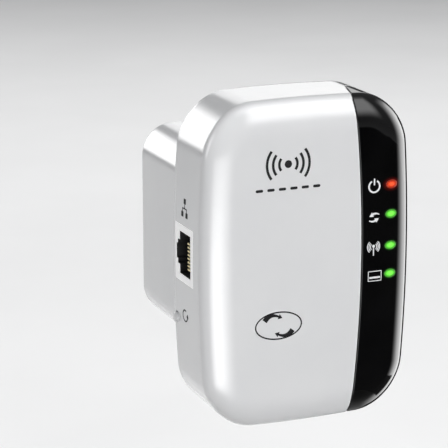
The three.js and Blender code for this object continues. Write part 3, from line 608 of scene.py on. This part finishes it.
WHITE = white_plastic()
BLACK = black_plastic()
PRINT_DARK = ink("print_dark_grey", (0.012, 0.012, 0.013))
PRINT_BLACK = ink("print_black", (0.008, 0.008, 0.009))
PRINT_WHITE = ink("print_white", (0.85, 0.86, 0.88))
# The jack's white plastic gets a painted glow: emission that makes it brighter than the walls' white
# under the same lights.
JACK_PAINTED_GLOW = {"Emission_Color": (1, 1, 1, 1), "Emission_Strength": 0.2}
JACK_WHITE_PAINTED_GLOW = plain("jack_plastic", (0.95, 0.95, 0.95), (0.98, 0.98, 0.98), 0.4, **JACK_PAINTED_GLOW)
# Near-black painted shade for the inner walls of the network port's deep recess.
JACK_PAINTED_SHADE = plain("jack_cavity_painted_shade", (0.012, 0.012, 0.013), (0.022, 0.022, 0.023), 0.5)
GOLD = plain("contact_gold", (0.93, 0.78, 0.42), (0.99, 0.88, 0.56), 0.35, 1.0, 2000, 0.05)
BRASS = plain("blade_brass", (0.8, 0.71, 0.48), (0.85, 0.76, 0.54), 0.35, 1.0, 2500, 0.03)
STEEL = plain("screw_steel", (0.6, 0.61, 0.62), (0.7, 0.71, 0.72), 0.35, 1.0, 900, 0.1)
LABEL = plain("label_paper", (0.66, 0.67, 0.69), (0.71, 0.72, 0.74), 0.42, 0.0, 300, 0.05)

SLOT_LOOKS = {
    "case_white": WHITE,
    "panel_black": BLACK,
    "jack_plastic": JACK_WHITE_PAINTED_GLOW,
    "contact_gold": GOLD,
    "blade_brass": BRASS,
    "screw_steel": STEEL,
    "label_paper": LABEL,
    "lamp_red": lamp_look("power"),
    "lamp_green": lamp_look("wireless"),
    "chip_black": plain("chip_epoxy", (0.02, 0.02, 0.021), (0.032, 0.032, 0.034), 0.55, 0.0, 1500, 0.3),
    "switch_black": plain("switch_plastic", (0.025, 0.025, 0.026), (0.04, 0.04, 0.042), 0.5),
    "fuse_glass": plain("fuse_ceramic", (0.62, 0.6, 0.52), (0.7, 0.68, 0.6), 0.45),
}
SLOT_FINISHES = {
    "board_green": ((0.012, 0.085, 0.035), (0.02, 0.12, 0.05), 0.35, 0.0, 400, 0.2),
    "led_package": ((0.75, 0.72, 0.55), (0.82, 0.8, 0.66), 0.4),
    "antenna_metal": ((0.7, 0.52, 0.26), (0.8, 0.62, 0.34), 0.3, 1.0, 900, 0.1),
    "ferrite": ((0.035, 0.033, 0.036), (0.06, 0.056, 0.06), 0.75, 0.0, 1800, 0.5),
    "coil_tape": ((0.7, 0.45, 0.04), (0.78, 0.54, 0.08), 0.3, 0.0, 500, 0.15),
    "capacitor_sleeve": ((0.012, 0.015, 0.035), (0.02, 0.024, 0.05), 0.25, 0.0, 400),
    "wire_red": ((0.45, 0.015, 0.012), (0.55, 0.025, 0.02), 0.4),
    "wire_blue": ((0.015, 0.045, 0.3), (0.025, 0.06, 0.38), 0.4),
}
SLOT_LOOKS.update({name: plain(name, *values) for name, values in SLOT_FINISHES.items()})


def dress_cad_nodes():
    """Gives every CAD node the finish of its slot in the record."""
    for entry in frame["record"]["subparts"]:
        for place_in_mesh in frame["nodes"][entry["node"]].material_slots:
            place_in_mesh.material = SLOT_LOOKS[entry["material_slot"]]


# --- front cover and panel


def panel_border(z_rows):
    """Where the panel's border crosses each row of the sheet."""
    low = np.full(len(z_rows), 4.0)
    high = np.full(len(z_rows), 26.0)
    for _ in range(40):
        middle = (low + high) / 2
        points = body_points(np.stack([middle, z_rows], 1))
        depth = points[:, 1] - EDGE
        border = PANEL_APEX - points[:, 2] ** 2 / (2 * PANEL_ARC_RADIUS)
        border = border + PANEL_SLANT * np.maximum(depth - PANEL_SLANT_START, 0)
        right = points[:, 0] > border
        high = np.where(right, middle, high)
        low = np.where(right, low, middle)
    return np.stack([(low + high) / 2, z_rows], 1)


def panel_loop():
    """The panel's outline on the sheet: its border, then round the right side."""
    rear = WALL_START + PANEL_REAR
    top = HALF[1] + rear
    border = panel_border(np.linspace(top, -top, 220))
    outside = body_outline(rear, 0.6)
    right = outside[outside[:, 0] > border[0, 0] + 0.3]
    order = np.argsort(np.unwrap(np.arctan2(right[:, 1], right[:, 0])))
    loop = densify(np.vstack([border, right[order]]), 0.6)
    for tip in (border[0], border[-1]):
        loop = round_tip(loop, tip, 1.1)
    return loop


def round_tip(loop, corner, reach):
    """Replaces the loop near a corner by a smooth turn that leaves it a reach away."""
    away = np.linalg.norm(loop - corner, axis=1)
    tip = int(np.argmin(away))
    loop, away = np.roll(loop, -tip, 0), np.roll(away, -tip)
    kept = np.flatnonzero(away >= reach)
    start, end = loop[kept[-1]], loop[kept[0]]
    t = np.linspace(0, 1, 9)[1:-1, None]
    turn = (1 - t) ** 2 * start + 2 * t * (1 - t) * corner + t**2 * end
    return np.vstack([turn, loop[kept[0] : kept[-1] + 1]])


def lamp_loops(margin):
    """The lamps' ovals on the sheet, grown by a margin."""
    loops = []
    for name in LAMPS:
        x, _, z = LAMP_CENTRES[name]
        loops.append(unbow(oval((x, z), LAMP_RADII + margin, 40)))
    return loops


def button_loop(margin):
    x, _, z = BUTTON_CENTRE
    return unbow(oval((x, z), BUTTON_RADII + margin, 96))


def rim_loop():
    """The cover's rear edge, with the notches for the jack and the reset button."""
    x, z = HALF - CORNER_RADIUS
    radius = CORNER_RADIUS + RIM_S
    rear = -(HALF[0] + RIM_S)
    front = -(HALF[0] + WALL_START + JACK_LOW[1] - EDGE - 0.12)
    top, bottom = JACK_HIGH[2] + 0.12, JACK_LOW[2] - 0.12
    jack = rounded([[rear, top], [front, top], [front, bottom], [rear, bottom]], [0, 0.45, 0.45, 0])
    centre = -(HALF[0] + WALL_START + RESET_DEPTH)
    hole = RESET_RADIUS + 0.15
    reach = math.degrees(math.acos((rear - centre) / hole))
    reset = arc((centre, RESET_CENTRE[2]), hole, reach, -reach, 0.3)
    pieces = [
        arc((x, z), radius, 0, 90),
        arc((-x, z), radius, 90, 180),
        jack,
        reset,
        arc((-x, -z), radius, 180, 270),
        arc((x, -z), radius, 270, 360),
    ]
    return densify(np.vstack(pieces), 0.6)


def front_cover():
    solid = Solid("front_cover_shell")
    hole = offset(PANEL_LOOP, -(PANEL_GAP + COVER_EDGE))
    button = button_loop(BUTTON_HOLE_GAP)
    loops = [rim_loop(), hole, button]
    main = Patch(body_sheet, loops, body_fill(loops))
    floor_loops = [hole, *lamp_loops(0.3)]
    floor = Patch(body_sheet, floor_loops, body_fill(floor_loops))
    index = solid.lay(main)
    rim = solid.edge(main, 0, index, 0.25, SHELL, outward=True)
    sill = solid.edge(main, 1, index, COVER_EDGE, RECESS_DEPTH)
    bore = solid.edge(main, 2, index, 0.14, SHELL)
    below = solid.lay(floor, RECESS_DEPTH, {0: sill})
    wells = {}
    for k in range(1, len(floor_loops)):
        wells[k] = solid.edge(floor, k, below, 0.0, SHELL, start=RECESS_DEPTH)
    inner = solid.lay(main, SHELL, {0: rim, 2: bore}, back=True)
    solid.lay(floor, SHELL, {0: inner[main.rings[1]], **wells}, back=True)
    solid.build("housing", "case_white", WHITE, ["front_cover"])


def indicator_panel():
    outer = offset(PANEL_LOOP, PANEL_EDGE)
    holes = lamp_loops(0.12)
    fill = body_fill([outer, *holes])
    solid = shell(
        "indicator_panel_gloss", body_sheet, outer, holes, PANEL_THICKNESS, PANEL_EDGE, 0.08, fill
    )
    solid.build("housing", "panel_black", BLACK, ["indicator_panel"])


PANEL_LOOP = panel_loop()


def front_button():
    solid = shell("wps_button_cap", body_sheet, button_loop(0), [], 2.5, 0.22)
    solid.build("wps_button", "case_white", WHITE, ["wps_button"])


def light_pipes():
    for name, loop in zip(LAMPS, lamp_loops(0)):
        solid = shell("lamp_" + name, body_sheet, loop, [], 5.2, 0.25)
        finish = "lamp_red" if name == "power" else "lamp_green"
        solid.build("housing", finish, lamp_look(name), ["light_pipe_" + name])


# --- moulded pieces


def ring(loop, level, axis=1):
    """A flat loop stood at a level along an axis."""
    return np.insert(np.asarray(loop, float), axis, level, axis=1)


def loft(rings):
    """A closed mesh through rings with the same number of points, capped at both ends."""
    count = len(rings[0])
    polygons = [list(range(count))[::-1]]
    for k in range(len(rings) - 1):
        a, b = k * count, (k + 1) * count
        for i in range(count):
            j = (i + 1) % count
            polygons.append([a + i, a + j, b + j, b + i])
    last = (len(rings) - 1) * count
    polygons.append([last + i for i in range(count)])
    mesh = bpy.data.meshes.new("rough")
    mesh.from_pydata((np.vstack(rings) * MM).tolist(), [], polygons)
    form = bmesh.new()
    form.from_mesh(mesh)
    bmesh.ops.recalc_face_normals(form, faces=form.faces)
    form.to_mesh(mesh)
    form.free()
    return mesh


def bar(loop, start, end, axis=1):
    return loft([ring(loop, start, axis), ring(loop, end, axis)])


def block(low, high):
    (x0, y0, z0), (x1, y1, z1) = low, high
    return bar([[x0, z0], [x1, z0], [x1, z1], [x0, z1]], y0, y1)


def turned(profile, centre, axis=1, steps=48):
    """A round piece from its radius at each place along an axis."""
    return loft([ring(oval(centre, (r, r), steps), level, axis) for r, level in profile])


def quarter_turn(steps):
    """How far a rounded edge has drawn in and run on, as shares of its radius."""
    return [(1 - math.cos(turn), math.sin(turn)) for turn in np.linspace(0, math.pi / 2, steps + 1)]


def evaluated(helpers):
    """The first helper's mesh with its modifiers applied; the helpers are removed."""
    graph = bpy.context.evaluated_depsgraph_get()
    made = bpy.data.meshes.new_from_object(helpers[0].evaluated_get(graph))
    for helper in helpers:
        bpy.data.objects.remove(helper)
    return made


def carved(mesh, cutters):
    helpers = [add_object("rough", mesh)]
    for cutter in cutters:
        helpers.append(add_object("rough", cutter))
        cut = helpers[0].modifiers.new("cut", "BOOLEAN")
        cut.operation, cut.solver, cut.object = "DIFFERENCE", "EXACT", helpers[-1]
    return evaluated(helpers)


def moulded(
    name, mesh, replaces=(), cutters=(), body="housing", finish="case_white", looks=(WHITE,),
    bevel=0.0, zone=None,
):
    """Carves a rough mesh, rounds its sharp edges and puts it in the scene. A zone tells from
    a face's centre which of the looks it takes."""
    if cutters:
        mesh = carved(mesh, cutters)
    mesh.polygons.foreach_set("use_smooth", [True] * len(mesh.polygons))
    mesh.set_sharp_from_angle(angle=math.radians(35))
    rough = add_object("rough", mesh)
    if bevel:
        edge = rough.modifiers.new("edge", "BEVEL")
        edge.width, edge.segments = bevel * MM, 3
        edge.limit_method, edge.angle_limit = "ANGLE", math.radians(35)
    even = rough.modifiers.new("even", "WEIGHTED_NORMAL")
    even.keep_sharp = not bevel
    made = evaluated([rough])
    made.name = name
    made.materials.clear()
    for look in looks:
        made.materials.append(look)
    for polygon in made.polygons:
        polygon.use_smooth = True
        polygon.material_index = zone(polygon.center / MM) if zone else 0
    return place(name, made, body, finish, replaces)


def body_section(inset, y):
    """The bowed outline drawn in by an inset, at a depth."""
    base = body_outline(0.0, 0.5)
    _, way = outline_distance(base)
    return ring(bow(base - inset * way), y)


def rear_cover():
    parting, lip, edge = RIM + PARTING_GAP, 2.4, 0.7
    rings = [body_section(lip, parting - 0.9), body_section(lip, parting)]
    rings += [body_section(0, parting), body_section(0, BACK - edge)]
    for drawn_in, run_on in quarter_turn(5)[1:]:
        rings.append(body_section(edge * drawn_in, BACK - edge + edge * run_on))
    cutters = []
    for k in range(1, 5):
        x, _, z = node_centre("cover_screw_" + str(k))
        cutters.append(turned([(2.6, SCREW_SEAT), (2.6, BACK + 1)], (x, z)))
    centre = (EDGE + RESET_DEPTH, RESET_CENTRE[2])
    hole = RESET_RADIUS + 0.25
    cutters.append(turned([(hole, -40), (hole, -25)], centre, 0))  # through the left wall
    leads = [node_box("dc_lead_positive"), node_box("dc_lead_negative")]
    low, high = leads[0][0] - 1.5, leads[1][1] + 1.5
    cutters.append(block((low[0], BACK - 6, low[2]), (high[0], BACK + 1, high[2])))
    moulded("rear_cover_plate", loft(rings), ["rear_cover"], cutters)


def plug_housing():
    half = (PLUG_HIGH - PLUG_LOW)[[0, 2]] / 2
    radius, wall, face, edge = 9.3, 2.2, 2.6, 1.5

    def section(inset, y):
        return ring(rectangle(*(half - inset), radius - inset, steps=22), y)

    rings = [section(0, PLUG_LOW[1])]
    for drawn_in, run_on in quarter_turn(7):
        rings.append(section(edge * drawn_in, -edge + edge * run_on))
    hollow = loft([section(wall, PLUG_LOW[1] - 1), section(wall, -face)])
    window = bar(rectangle(*(HOLDER_HALF + 0.3), HOLDER_ROUND + 0.3), -5, 1)
    moulded("plug_housing_shell", loft(rings), ["plug_housing"], [hollow, window], bevel=0.12)


HOLDER_FLANGE, HOLDER_ROUND = 2.5, 3
HOLDER_HALF = (HOLDER_HIGH - HOLDER_LOW)[[0, 2]] / 2 - HOLDER_FLANGE


def blade_holder():
    seat, edge = -2.9, 0.3
    flange = rectangle(*(HOLDER_HALF + HOLDER_FLANGE), HOLDER_ROUND)
    plug = rectangle(*HOLDER_HALF, HOLDER_ROUND)
    rings = [ring(flange, HOLDER_LOW[1]), ring(flange, seat), ring(plug, seat), ring(plug, -edge)]
    rings.append(ring(rectangle(*(HOLDER_HALF - edge), HOLDER_ROUND - edge), 0))
    slots = []
    for side in ("left", "right"):
        low, high = node_box("blade_" + side)
        half = (high[0] - low[0]) / 2 + 0.2
        x = (low[0] + high[0]) / 2
        slots.append(bar(rectangle(half, 3.4, 0.3, (x, 0)), -6, 1))
    moulded("blade_holder_block", loft(rings), ["blade_holder"], slots)


def blades():
    half, shoulder, tab = 3.175, 4.7, 1.4
    shoulder_start, shoulder_end = -4.9, -8
    hole_radius, hole_place = 1.6, 11.9
    for side in ("left", "right"):
        name = "blade_" + side
        low, high = node_box(name)
        tip = high[1]
        outline = [[low[1], -tab], [shoulder_end, -tab], [shoulder_end, -shoulder]]
        outline += [[shoulder_start, -shoulder], [shoulder_start, -half], [tip, -half]]
        outline += [[y, -z] for y, z in outline[::-1]]
        radii = [0] * 5 + [2.2, 2.2] + [0] * 5
        through = [(hole_radius, low[0] - 1), (hole_radius, high[0] + 1)]
        hole = turned(through, (hole_place, 0), 0, 32)
        form = bar(rounded(outline, radii), low[0], high[0], 0)
        metal = {"finish": "blade_brass", "looks": [BRASS], "bevel": 0.2}
        moulded(name + "_bar", form, [name], [hole], **metal)


def screws():
    """Pan-head screws that hold the covers together."""
    for k in range(1, 5):
        name = "cover_screw_" + str(k)
        low, high = node_box(name)
        x, _, z = (low + high) / 2
        head, shank, rim, point = 2.3, 1.05, SCREW_SEAT + 0.7, 0.02
        profile = [(point, low[1]), (shank, low[1] + 1.2), (shank, SCREW_SEAT)]
        profile += [(head, SCREW_SEAT), (head, rim)]
        for drawn_in, run_on in quarter_turn(5)[1:]:
            profile.append((head - 0.85 * drawn_in, rim + 0.8 * run_on))
        profile.append((point, SCREW_SEAT + 1.55))
        cross = [
            block((x - a, SCREW_SEAT + 0.6, z - b), (x + a, SCREW_SEAT + 3, z + b))
            for a, b in ((1.35, 0.24), (0.24, 1.35))
        ]
        head_look = {"finish": "screw_steel", "looks": [STEEL]}
        moulded(name + "_head", turned(profile, (x, z)), [name], cross, **head_look)


def reset_button():
    low, high = node_box("reset_button")
    centre = (EDGE + RESET_DEPTH, RESET_CENTRE[2])
    edge, arm_thickness = 0.5, 1.2
    profile = [(RESET_RADIUS, high[0] - 1.0)]
    for drawn_in, run_on in quarter_turn(5):
        profile.append((RESET_RADIUS - edge * drawn_in, low[0] + edge - edge * run_on))
    profile.append((0.05, low[0] - 0.06))
    nub = turned(profile, centre, 0)
    moulded("reset_button_nub", nub, ["reset_button"], body="reset_button")
    arm = block(
        (high[0] - arm_thickness, low[1], centre[1] - RESET_RADIUS),
        (high[0], centre[0] + RESET_RADIUS, centre[1] + RESET_RADIUS),
    )
    moulded("reset_button_arm", arm, body="reset_button", bevel=0.15)


# --- network jack

PORT_FRONT, PORT_BACK, PORT_DEPTH = EDGE + 5.6, EDGE + 13.4, 13.0
PORT_HALF = 5.9
JACK_Z = (JACK_LOW[2] + JACK_HIGH[2]) / 2


def jack_housing():
    left = JACK_LOW[0]
    end = left + PORT_DEPTH
    latch_steps = [(EDGE + 14.9, 3.4), (EDGE + 15.8, 2.1)]
    steps = [(PORT_FRONT, PORT_BACK, PORT_HALF)]
    steps += [(PORT_BACK - 1, back, half) for back, half in latch_steps]
    cutters = [
        block((left - 1, front, JACK_Z - half), (end, back, JACK_Z + half))
        for front, back, half in steps
    ]

    def zone(centre):
        """1, the dark look of painted shade, on the walls of the port behind its white mouth."""
        deep = left + 0.3 < centre.x < end + 0.1
        behind = PORT_FRONT - 0.1 < centre.y < latch_steps[-1][0] + 0.1
        return 1 if deep and behind and abs(centre.z - JACK_Z) < PORT_HALF + 0.1 else 0

    looks = {"finish": "jack_plastic", "looks": [JACK_WHITE_PAINTED_GLOW, JACK_PAINTED_SHADE], "zone": zone}
    form = block(JACK_LOW, JACK_HIGH)
    moulded("jack_housing_block", form, ["jack_housing"], cutters, bevel=0.18, **looks)


def contact_path():
    """The centre of a contact wire, as depth into the port and depth behind the edge."""
    lower, upper = arc((0.8, 6.4), 0.45, 270, 180, 0.1), arc((0.8, 7.75), 0.45, 180, 95, 0.1)
    return np.vstack([[3.2, 5.95], lower, upper, [10.4, 8.85], [11.2, 8.65]])


def jack_contacts():
    path = contact_path() + [JACK_LOW[0], EDGE]
    tangent = np.gradient(path, axis=0)
    side = unit(np.stack([-tangent[:, 1], tangent[:, 0]], 1)) * 0.17
    outline = np.vstack([path + side, (path - side)[::-1]])
    for k in range(1, 9):
        name = "jack_contact_" + str(k)
        low, high = node_box(name)
        wire = bar(outline, low[2] + 0.05, high[2] - 0.05, 2)
        gold = {"finish": "contact_gold", "looks": [GOLD], "bevel": 0.06}
        moulded("jack_contact_wire_" + str(k), wire, [name], body="jack_contacts", **gold)


# --- printing

WALL_LEFT = -(HALF[0] + WALL_START)
INK = 0.03  # its height above the surface, and how far it reaches below


def printed(name, shapes, body="housing", finish="panel_black", look=PRINT_DARK, sheet=body_sheet):
    """Ink on a sheet: each shape is a loop with any holes in it."""
    solid = Solid(name)
    for loops in shapes:
        patch = Patch(sheet, loops)
        index = solid.lay(patch, -INK)
        rings = {0: solid.edge(patch, 0, index, 0, INK, start=-INK, outward=True)}
        for k in range(1, len(loops)):
            rings[k] = solid.edge(patch, k, index, 0, INK, start=-INK)
        solid.lay(patch, INK, rings, back=True)
    solid.build(body, finish, look)


def band(points, widths):
    """The outline of a stroke of changing width along a line of points."""
    points = np.asarray(points, float)
    tangent = np.gradient(points, axis=0)
    side = unit(np.stack([-tangent[:, 1], tangent[:, 0]], 1))
    half = np.broadcast_to(np.asarray(widths, float), (len(points),))[:, None] / 2
    return np.vstack([points - side * half, (points + side * half)[::-1]])


def arrow(points, widths, head_width, head_length):
    """A stroke that ends in an arrowhead."""
    shaft = band(points, widths)
    way = unit((points[-1] - points[-2])[None])[0]
    side = np.array([-way[1], way[0]]) * head_width / 2
    end = points[-1]
    count = len(points)
    head = np.array([end - side, end + way * head_length, end + side])
    return np.vstack([shaft[:count], head, shaft[count:]])


def curve(a, control, b, steps=14):
    t = np.linspace(0, 1, steps)[:, None]
    a, control, b = (np.array(v, float) for v in (a, control, b))
    return (1 - t) ** 2 * a + 2 * t * (1 - t) * control + t**2 * b


def on_front(shapes, centre):
    """Shapes round a centre on the front, as loops on the body's sheet."""
    return [[unbow(np.asarray(loop) + centre) for loop in loops] for loops in shapes]


def on_left_wall(shapes, depth, z):
    """Shapes on the left wall, at a depth behind the edge and a height."""
    centre = np.array([WALL_LEFT - depth, z])
    return [[np.asarray(loop) + centre for loop in loops] for loops in shapes]


def power_sign():
    circle = arc((0, -0.2), 1.6, 118, 422, 0.2)
    stem = rectangle(0.21, 0.95, 0.2, (0, 1.05), 4)
    return [[band(circle, 0.46)], [stem]]


def sync_sign():
    path = curve((1.5, 0.75), (0.45, 1.35), (-0.4, 0.85))
    first = arrow(path, np.linspace(0.25, 0.65, len(path)), 1.4, 1.15)
    return [[first], [-first]]


def aerial_sign():
    mast = [rectangle(0.16, 1.2, 0.15, (0, -0.95), 4)]
    shapes = [mast, [oval((0, 0.5), (0.42, 0.42), 20)]]
    for way in (0, 180):
        for radius in (0.95, 1.4, 1.85):
            shapes.append([band(arc((0, 0.35), radius, way - 50, way + 50, 0.2), 0.25)])
    return shapes


def screen_sign():
    outer = rectangle(2.05, 1.45, 0.2, (0, 0), 3)
    inner = rectangle(1.84, 1.24, 0.08, (0, 0), 3)
    bar_in_screen = rectangle(1.62, 0.25, 0.05, (0, -0.4), 3)
    return [[outer, inner], [bar_in_screen]]


def panel_signs():
    signs = {
        "power": (power_sign(), (18.5, 19.8)),
        "sync": (sync_sign(), (18.6, 11.0)),
        "wireless": (aerial_sign(), (18.6, 2.5)),
        "network": (screen_sign(), (19.1, -5.4)),
    }
    for name, (shapes, centre) in signs.items():
        printed("sign_" + name, on_front(shapes, centre), "housing", "case_white", PRINT_WHITE)


def button_signs():
    path = curve((-4.1, 1.6), (-2.5, 3.75), (0.0, 2.5))
    widths = np.linspace(1.6, 0.55, len(path))
    first = arrow(path, widths, 1.5, 1.2)
    shapes = on_front([[first], [-first]], BUTTON_CENTRE[[0, 2]])
    printed("button_arrows", shapes, "wps_button", look=PRINT_BLACK)
    edge, width = -0.12, 0.4
    rim = [[button_loop(edge), button_loop(edge - width)]]
    printed("button_ring", rim, "wps_button")


def front_sign():
    """A plain broadcast sign: a dot between arcs, over a row of dashes."""
    shapes = [[oval((0, 0), (1.05, 1.05), 32)]]
    for way in (0, 180):
        for radius in (2.6, 4.35, 6.1):
            shapes.append([band(arc((0, 0), radius, way - 38, way + 38, 0.3), 0.72)])
    for k in range(6):
        shapes.append([rectangle(1.05, 0.38, 0.36, (3.3 * (k - 2.5), -6.6), 5)])
    printed("front_sign", on_front(shapes, (-6.8, 28.0)))


def wall_signs():
    squares = [(0, 2.0), (-1.5, -1.7), (1.5, -1.7)]
    network = [[rectangle(0.75, 0.75, 0.1, centre, 3)] for centre in squares]
    network.append([rectangle(0.17, 0.7, 0.08, (0, 0.7), 2)])
    network.append([rectangle(1.6, 0.17, 0.08, (0, 0.0), 2)])
    network += [[rectangle(0.17, 0.5, 0.08, (x, -0.5), 2)] for x in (-1.43, 1.43)]
    turn = arc((0, 0), 1.6, 60, 350, 0.2)
    again = [[arrow(turn, 0.42, 1.4, 1.2)]]
    shapes = on_left_wall(network, 9.9, 15.2) + on_left_wall(again, 9.9, -15.2)
    printed("wall_signs", shapes)


def rating_label():
    low, high = node_box("rating_label")
    half = (high - low)[[1, 2]] / 2
    _, y, z = (low + high) / 2
    sheet = plane_sheet((high[0], y, z), (0, 1, 0), (0, 0, 1))
    solid = shell("rating_label_film", sheet, rectangle(*half, 1.5), [], high[0] - low[0], 0.05)
    solid.build("housing", "label_paper", LABEL, ["rating_label"])
    frame_line = [[rectangle(*(half - 1.0), 1.0), rectangle(*(half - 1.25), 0.75)]]
    rows = [[rectangle(half[0] - 3.5, 0.35, 0.3, (0, z), 3)] for z in (9, 5.5, 2, -6, -9.5)]
    printed("label_lines", frame_line + rows, sheet=sheet)


# --- setting


def feather(light, share):
    """Fades a rectangular light out towards its edges."""
    light.use_nodes = True
    nodes, links = light.node_tree.nodes, light.node_tree.links

    def worked_out(operation, *values):
        made = nodes.new("ShaderNodeMath")
        made.operation = operation
        for socket, value in zip(made.inputs, values):
            if isinstance(value, float):
                socket.default_value = value
            else:
                links.new(value, socket)
        return made.outputs[0]

    split = nodes.new("ShaderNodeSeparateXYZ")
    links.new(nodes.new("ShaderNodeNewGeometry").outputs["Parametric"], split.inputs[0])
    fades = []
    for across in (split.outputs["X"], split.outputs["Y"]):
        nearest = worked_out("MINIMUM", across, worked_out("SUBTRACT", 1.0, across))
        fade = nodes.new("ShaderNodeMapRange")
        fade.interpolation_type = "SMOOTHSTEP"
        fade.inputs["From Max"].default_value = share
        links.new(nearest, fade.inputs["Value"])
        fades.append(fade.outputs["Result"])
    links.new(worked_out("MULTIPLY", *fades), nodes["Emission"].inputs["Strength"])


def softbox(name, azimuth, elevation, distance, width, height, radiance, soft=0.2):
    """A soft rectangular light aimed at the object. Azimuth runs from the front to the right."""
    a, e = math.radians(azimuth), math.radians(elevation)
    way = Vector((math.sin(a) * math.cos(e), -math.cos(a) * math.cos(e), math.sin(e)))
    light = bpy.data.lights.new(name, "AREA")
    light.shape = "RECTANGLE"
    light.size, light.size_y = width, height
    light.energy = radiance * math.pi * width * height
    feather(light, soft)
    lamp = add_object(name, light)
    lamp.location = Vector((0, BACK * MM, 0)) + way * distance
    lamp.rotation_euler = way.to_track_quat("Z", "Y").to_euler()
    lamp.visible_camera = False
    lamp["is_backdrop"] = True
    return lamp


def card(name, corners, look):
    """A flat card of the studio, by its corners in order."""
    mesh = bpy.data.meshes.new(name)
    mesh.from_pydata(corners, [], [(0, 1, 2, 3)])
    mesh.materials.append(look)
    thing = add_object(name, mesh)
    thing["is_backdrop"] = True
    return thing


def level_card(name, x, y, z, look):
    corners = [(x[0], y[0], z), (x[1], y[0], z), (x[1], y[1], z), (x[0], y[1], z)]
    return card(name, corners, look)


def mirror_card(name, azimuths, low, high, distance, look):
    """An upright card that is only seen in the object's gloss."""
    first, last = (
        (math.sin(math.radians(a)) * distance, -math.cos(math.radians(a)) * distance)
        for a in azimuths
    )
    corners = [(*first, low), (*last, low), (*last, high), (*first, high)]
    thing = card(name, corners, look)
    thing.visible_camera = False
    thing.visible_shadow = False
    thing.visible_diffuse = False
    return thing


def studio_sky():
    """A soft room: bright above the front right, dim at the left and behind, pale to the eye."""
    world = bpy.data.worlds.new("studio")
    world.use_nodes = True
    nodes, links = world.node_tree.nodes, world.node_tree.links
    way = nodes.new("ShaderNodeTexCoord").outputs["Generated"]
    dot = nodes.new("ShaderNodeVectorMath")
    dot.operation = "DOT_PRODUCT"
    dot.inputs[1].default_value = Vector((0.3, -0.35, 0.89)).normalized()
    links.new(way, dot.inputs[0])
    ramp = nodes.new("ShaderNodeMapRange")
    set_range(ramp, -0.3, 1.0, 0.01, 0.36)
    links.new(dot.outputs["Value"], ramp.inputs["Value"])
    seen = nodes.new("ShaderNodeMix")
    seen.inputs["B"].default_value = 0.7
    links.new(nodes.new("ShaderNodeLightPath").outputs["Is Camera Ray"], seen.inputs["Factor"])
    links.new(ramp.outputs["Result"], seen.inputs["A"])
    background = nodes["Background"]
    background.inputs["Color"].default_value = (0.97, 0.98, 1.0, 1)
    links.new(seen.outputs["Result"], background.inputs["Strength"])
    bpy.context.scene.world = world


def setting():
    """The studio, in metres: dark cards and soft lights that only the gloss and shading show."""
    matt = {"grain": 3, "relief": 0.0}
    pale = plain("floor", (0.78, 0.78, 0.78), (0.8, 0.8, 0.8), 0.8, Specular_IOR_Level=0.0, **matt)
    dark = plain("dark_card", (0.02, 0.02, 0.02), (0.03, 0.03, 0.03), 0.9, **matt)
    floor = level_card("floor", (-14, 14), (-14, 14), -0.8, pale)
    level_card("dark_card", (0.26, 1.5), (-1.8, -0.12), -0.3, dark).visible_camera = False
    under = level_card("under_card", (-0.6, 0.26), (-1.0, 0.3), -0.4, dark)
    under.visible_camera = False
    under.visible_shadow = False
    under.visible_glossy = False
    mirror_card("dark_edge", (93, 141), -0.6, 0.09, 0.4, dark)
    studio_sky()
    softbox("left_strip", -13, -19, 0.8, 0.95, 0.5, 4.8, 0.45)
    softbox("top_front", 27, 34, 1.0, 0.7, 1.2, 3.3, 0.3)
    softbox("top_high", 20, 66, 1.0, 1.0, 0.7, 1.4, 0.25)
    softbox("right_tall", 84, -10, 0.5, 0.62, 1.3, 7.0, 0.4).visible_diffuse = False
    softbox("right_fill", 95, 12, 1.2, 0.8, 0.9, 1.8)
    softbox("behind_left", 200, 12, 1.4, 0.95, 0.75, 3.0, 0.2)
    softbox("behind_right", 158, 16, 2.4, 1.3, 1.0, 1.1, 0.2)
    softbox("left_high", -85, 15, 1.2, 0.7, 0.9, 2.1)
    only_floor = bpy.data.collections.new("floor_only")
    only_floor.objects.link(floor)
    floor_light = softbox("floor_light", 152, 42, 5.6, 6.0, 3.2, 5.4, 0.1)
    floor_light.light_linking.receiver_collection = only_floor


def camera():
    data = bpy.data.cameras.new("camera")
    data.lens = 157.9
    data.sensor_width = 36
    data.clip_start = 0.05
    data.clip_end = 100
    camera = add_object("camera", data)
    right = Vector((0.92379, -0.38290, -0.00083))
    back = Vector((-0.37008, -0.89342, 0.25464))
    up = back.cross(right)
    turn = Matrix((right, up, back)).transposed().to_4x4()
    camera.matrix_world = Matrix.Translation((-0.21416, -0.51844, 0.14377)) @ turn
    bpy.context.scene.camera = camera


dress_cad_nodes()
front_cover()
indicator_panel()
front_button()
light_pipes()
rear_cover()
plug_housing()
blade_holder()
blades()
screws()
reset_button()
jack_housing()
jack_contacts()
panel_signs()
button_signs()
front_sign()
wall_signs()
rating_label()
setting()
camera()
bpy.context.scene.view_settings.view_transform = "Standard"


def corners(box):
    return [[float(v) for v in corner] for corner in box]


{"cad": corners(cad_box), "visual": corners(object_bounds())}
